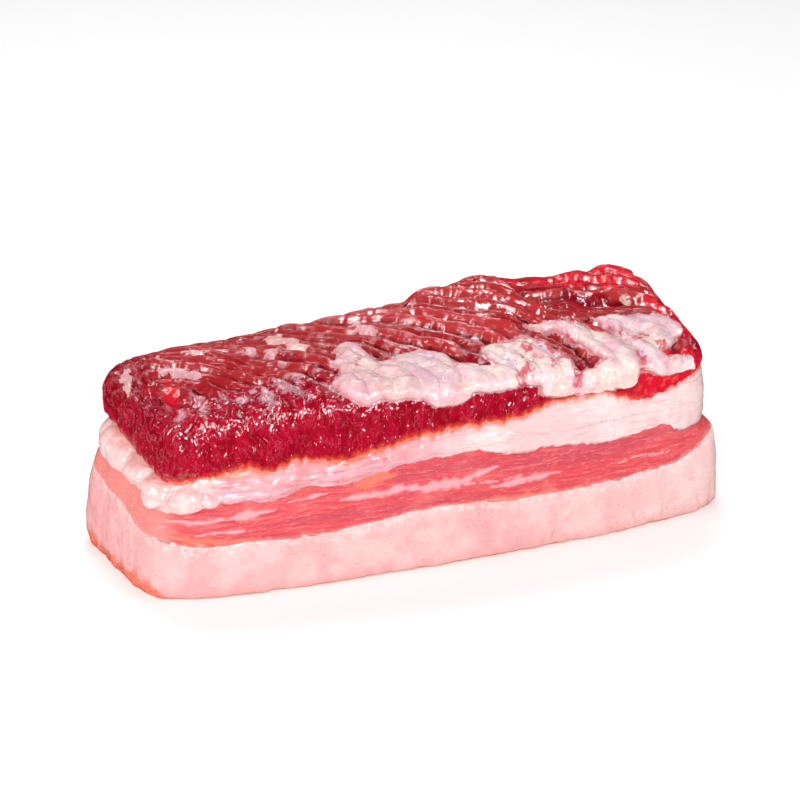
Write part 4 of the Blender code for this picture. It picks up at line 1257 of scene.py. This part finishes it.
def main():
    materials = {}
    tissue, ragged = tissueGroup(), raggedGroup()
    materials["backFat"] = backFatMaterial(tissue, ragged)
    materials["lowerLean"] = lowerLeanMaterial(tissue, ragged)
    materials["seamFat"] = seamFatMaterial(tissue, ragged)
    materials["upperLean"] = upperLeanMaterial(tissue, ragged)
    materials["surfaceFat"] = surfaceFatMaterial(tissue, ragged)
    bundles, grain = bundleTree(), grainTree()
    print("materials and trees made")

    backFat = makeLayer("backFat", "rindBase", "backFatTop", 46, lift=0.0)
    points = readPoints(backFat)
    x, y, z = points.T
    leftEnd = smoothstep(-73, -79, x - 0.1 * y)
    storeAttribute(backFat, "leftEnd", leftEnd)
    storeAttribute(backFat, "paler", smoothstep(15, 70, x))
    storeAttribute(backFat, "grainAmount", readAttribute(backFat, "grainAmount") * smoothstep(0, 0.8, z))
    reach = 1.0 + leftEnd * (4.8 + 3.2 * softNoise(x, y, 0.3 * z, 3.0, 61.0, 2))
    storeAttribute(backFat, "rind", 1 - smoothstep(0.55 * reach, reach, z))
    applyTree(backFat, grain, cells=(0.3, 0.3, 0.3), depth=0.24, bend=0.3, seed=2.0,
              pucker=0.2, puckerScale=0.2, material=materials["backFat"])
    lowerLean = makeLayer("lowerLean", "backFatTop", "lowerLeanTop", 30, sink=0.3)
    points = readPoints(lowerLean)
    storeAttribute(lowerLean, "leftEnd", smoothstep(-68, -78, points[:, 0] - 0.1 * points[:, 1]))
    for k, (mark, lines) in enumerate(frontMarks["lowerLean"].items()):
        storeAttribute(lowerLean, mark, frontLine(points, lines, 71.0 + 11 * k))
    applyTree(lowerLean, grain, cells=(0.13, 0.14, 0.9), depth=0.28, bend=0.35, seed=5.0,
              material=materials["lowerLean"])
    seamFat = makeLayer("seamFat", "lowerLeanTop", "seamFatTop", 30, sink=0.3)
    points = readPoints(seamFat)
    storeAttribute(seamFat, "leftEnd", smoothstep(-57, -66, points[:, 0] - 0.1 * points[:, 1]))
    storeAttribute(seamFat, "pinker", smoothstep(12, -20, points[:, 0]) * (1 - readAttribute(seamFat, "leftEnd")))
    for k, (mark, lines) in enumerate(frontMarks["seamFat"].items()):
        storeAttribute(seamFat, mark, frontLine(points, lines, 81.0 + 11 * k))
    applyTree(seamFat, grain, cells=(0.09, 0.10, 0.70), depth=0.26, bend=0.4, seed=8.0,
              pucker=0.45, puckerScale=0.30, material=materials["seamFat"])
    print("lower layers grained")

    upperLean, index, wallCount, ringCount = makeUpperLean()
    applyTree(upperLean, bundles, depth=2.6, seed=3.0, material=materials["upperLean"])
    applyTree(upperLean, grain, cells=(0.40, 0.40, 0.17), depth=0.66, bend=1.0, seed=13.0,
              material=materials["upperLean"])
    print("muscle bundles made")

    points = readPoints(upperLean)
    for k, (mark, blots) in enumerate(topMarks.items()):
        inside = topBlots(points, blots, 91.0 + 13 * k)
        storeAttribute(upperLean, mark, inside)
        if mark == "flake":
            points[:, 2] += 0.6 * smoothstep(-0.6, 1.3, inside)
    storePoints(upperLean, points)
    longSteps, shortSteps = slab["longSteps"], slab["shortSteps"]
    rows = np.arange(6, wallCount)
    front = np.stack([row * ringCount + np.arange(longSteps + 1) for row in rows], 1)
    path = np.concatenate([front, index[:, 1 : int(shortSteps * 0.72)]], 1)
    sheet = points[path]
    film = np.zeros(len(points))
    patches = []
    for part in ("middle", "right"):
        obj, raw = makeSurfaceFat("surfaceFat" + part.capitalize(), sheet, surfaceFat[part])
        applyTree(obj, grain, cells=(0.4, 0.3, 0.4), depth=0.34, bend=1.2, seed=17.0,
                  pucker=0.3, puckerScale=0.30, material=materials["surfaceFat"])
        storeAttribute(obj, "torn", topBlots(readPoints(obj), fatMarks, 131.0))
        patches.append(obj)
        film[path] = np.maximum(film[path], smoothstep(-1.55, -0.3, softened(raw, 4)))
    storeAttribute(upperLean, "film", film)
    x, y, z = points.T
    storeAttribute(upperLean, "corner", smoothstep(44, 62, x) * smoothstep(-14, -22, y))
    print("surface fat laid")

    shift = Vector(slab["centring"]) * mm
    standIns = {
        "back_fat": (backFat, "back_fat"), "lower_lean": (lowerLean, "lower_lean"),
        "seam_fat": (seamFat, "seam_fat"), "upper_lean": (upperLean, "upper_lean"),
        "surface_fat_middle": (patches[0], "surface_fat"), "surface_fat_right": (patches[1], "surface_fat"),
    }
    for node, (obj, slot) in standIns.items():
        obj.data.transform(Matrix.Translation(shift))
        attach(obj, "root")
        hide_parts(node)
    makeStage(shift)


main()
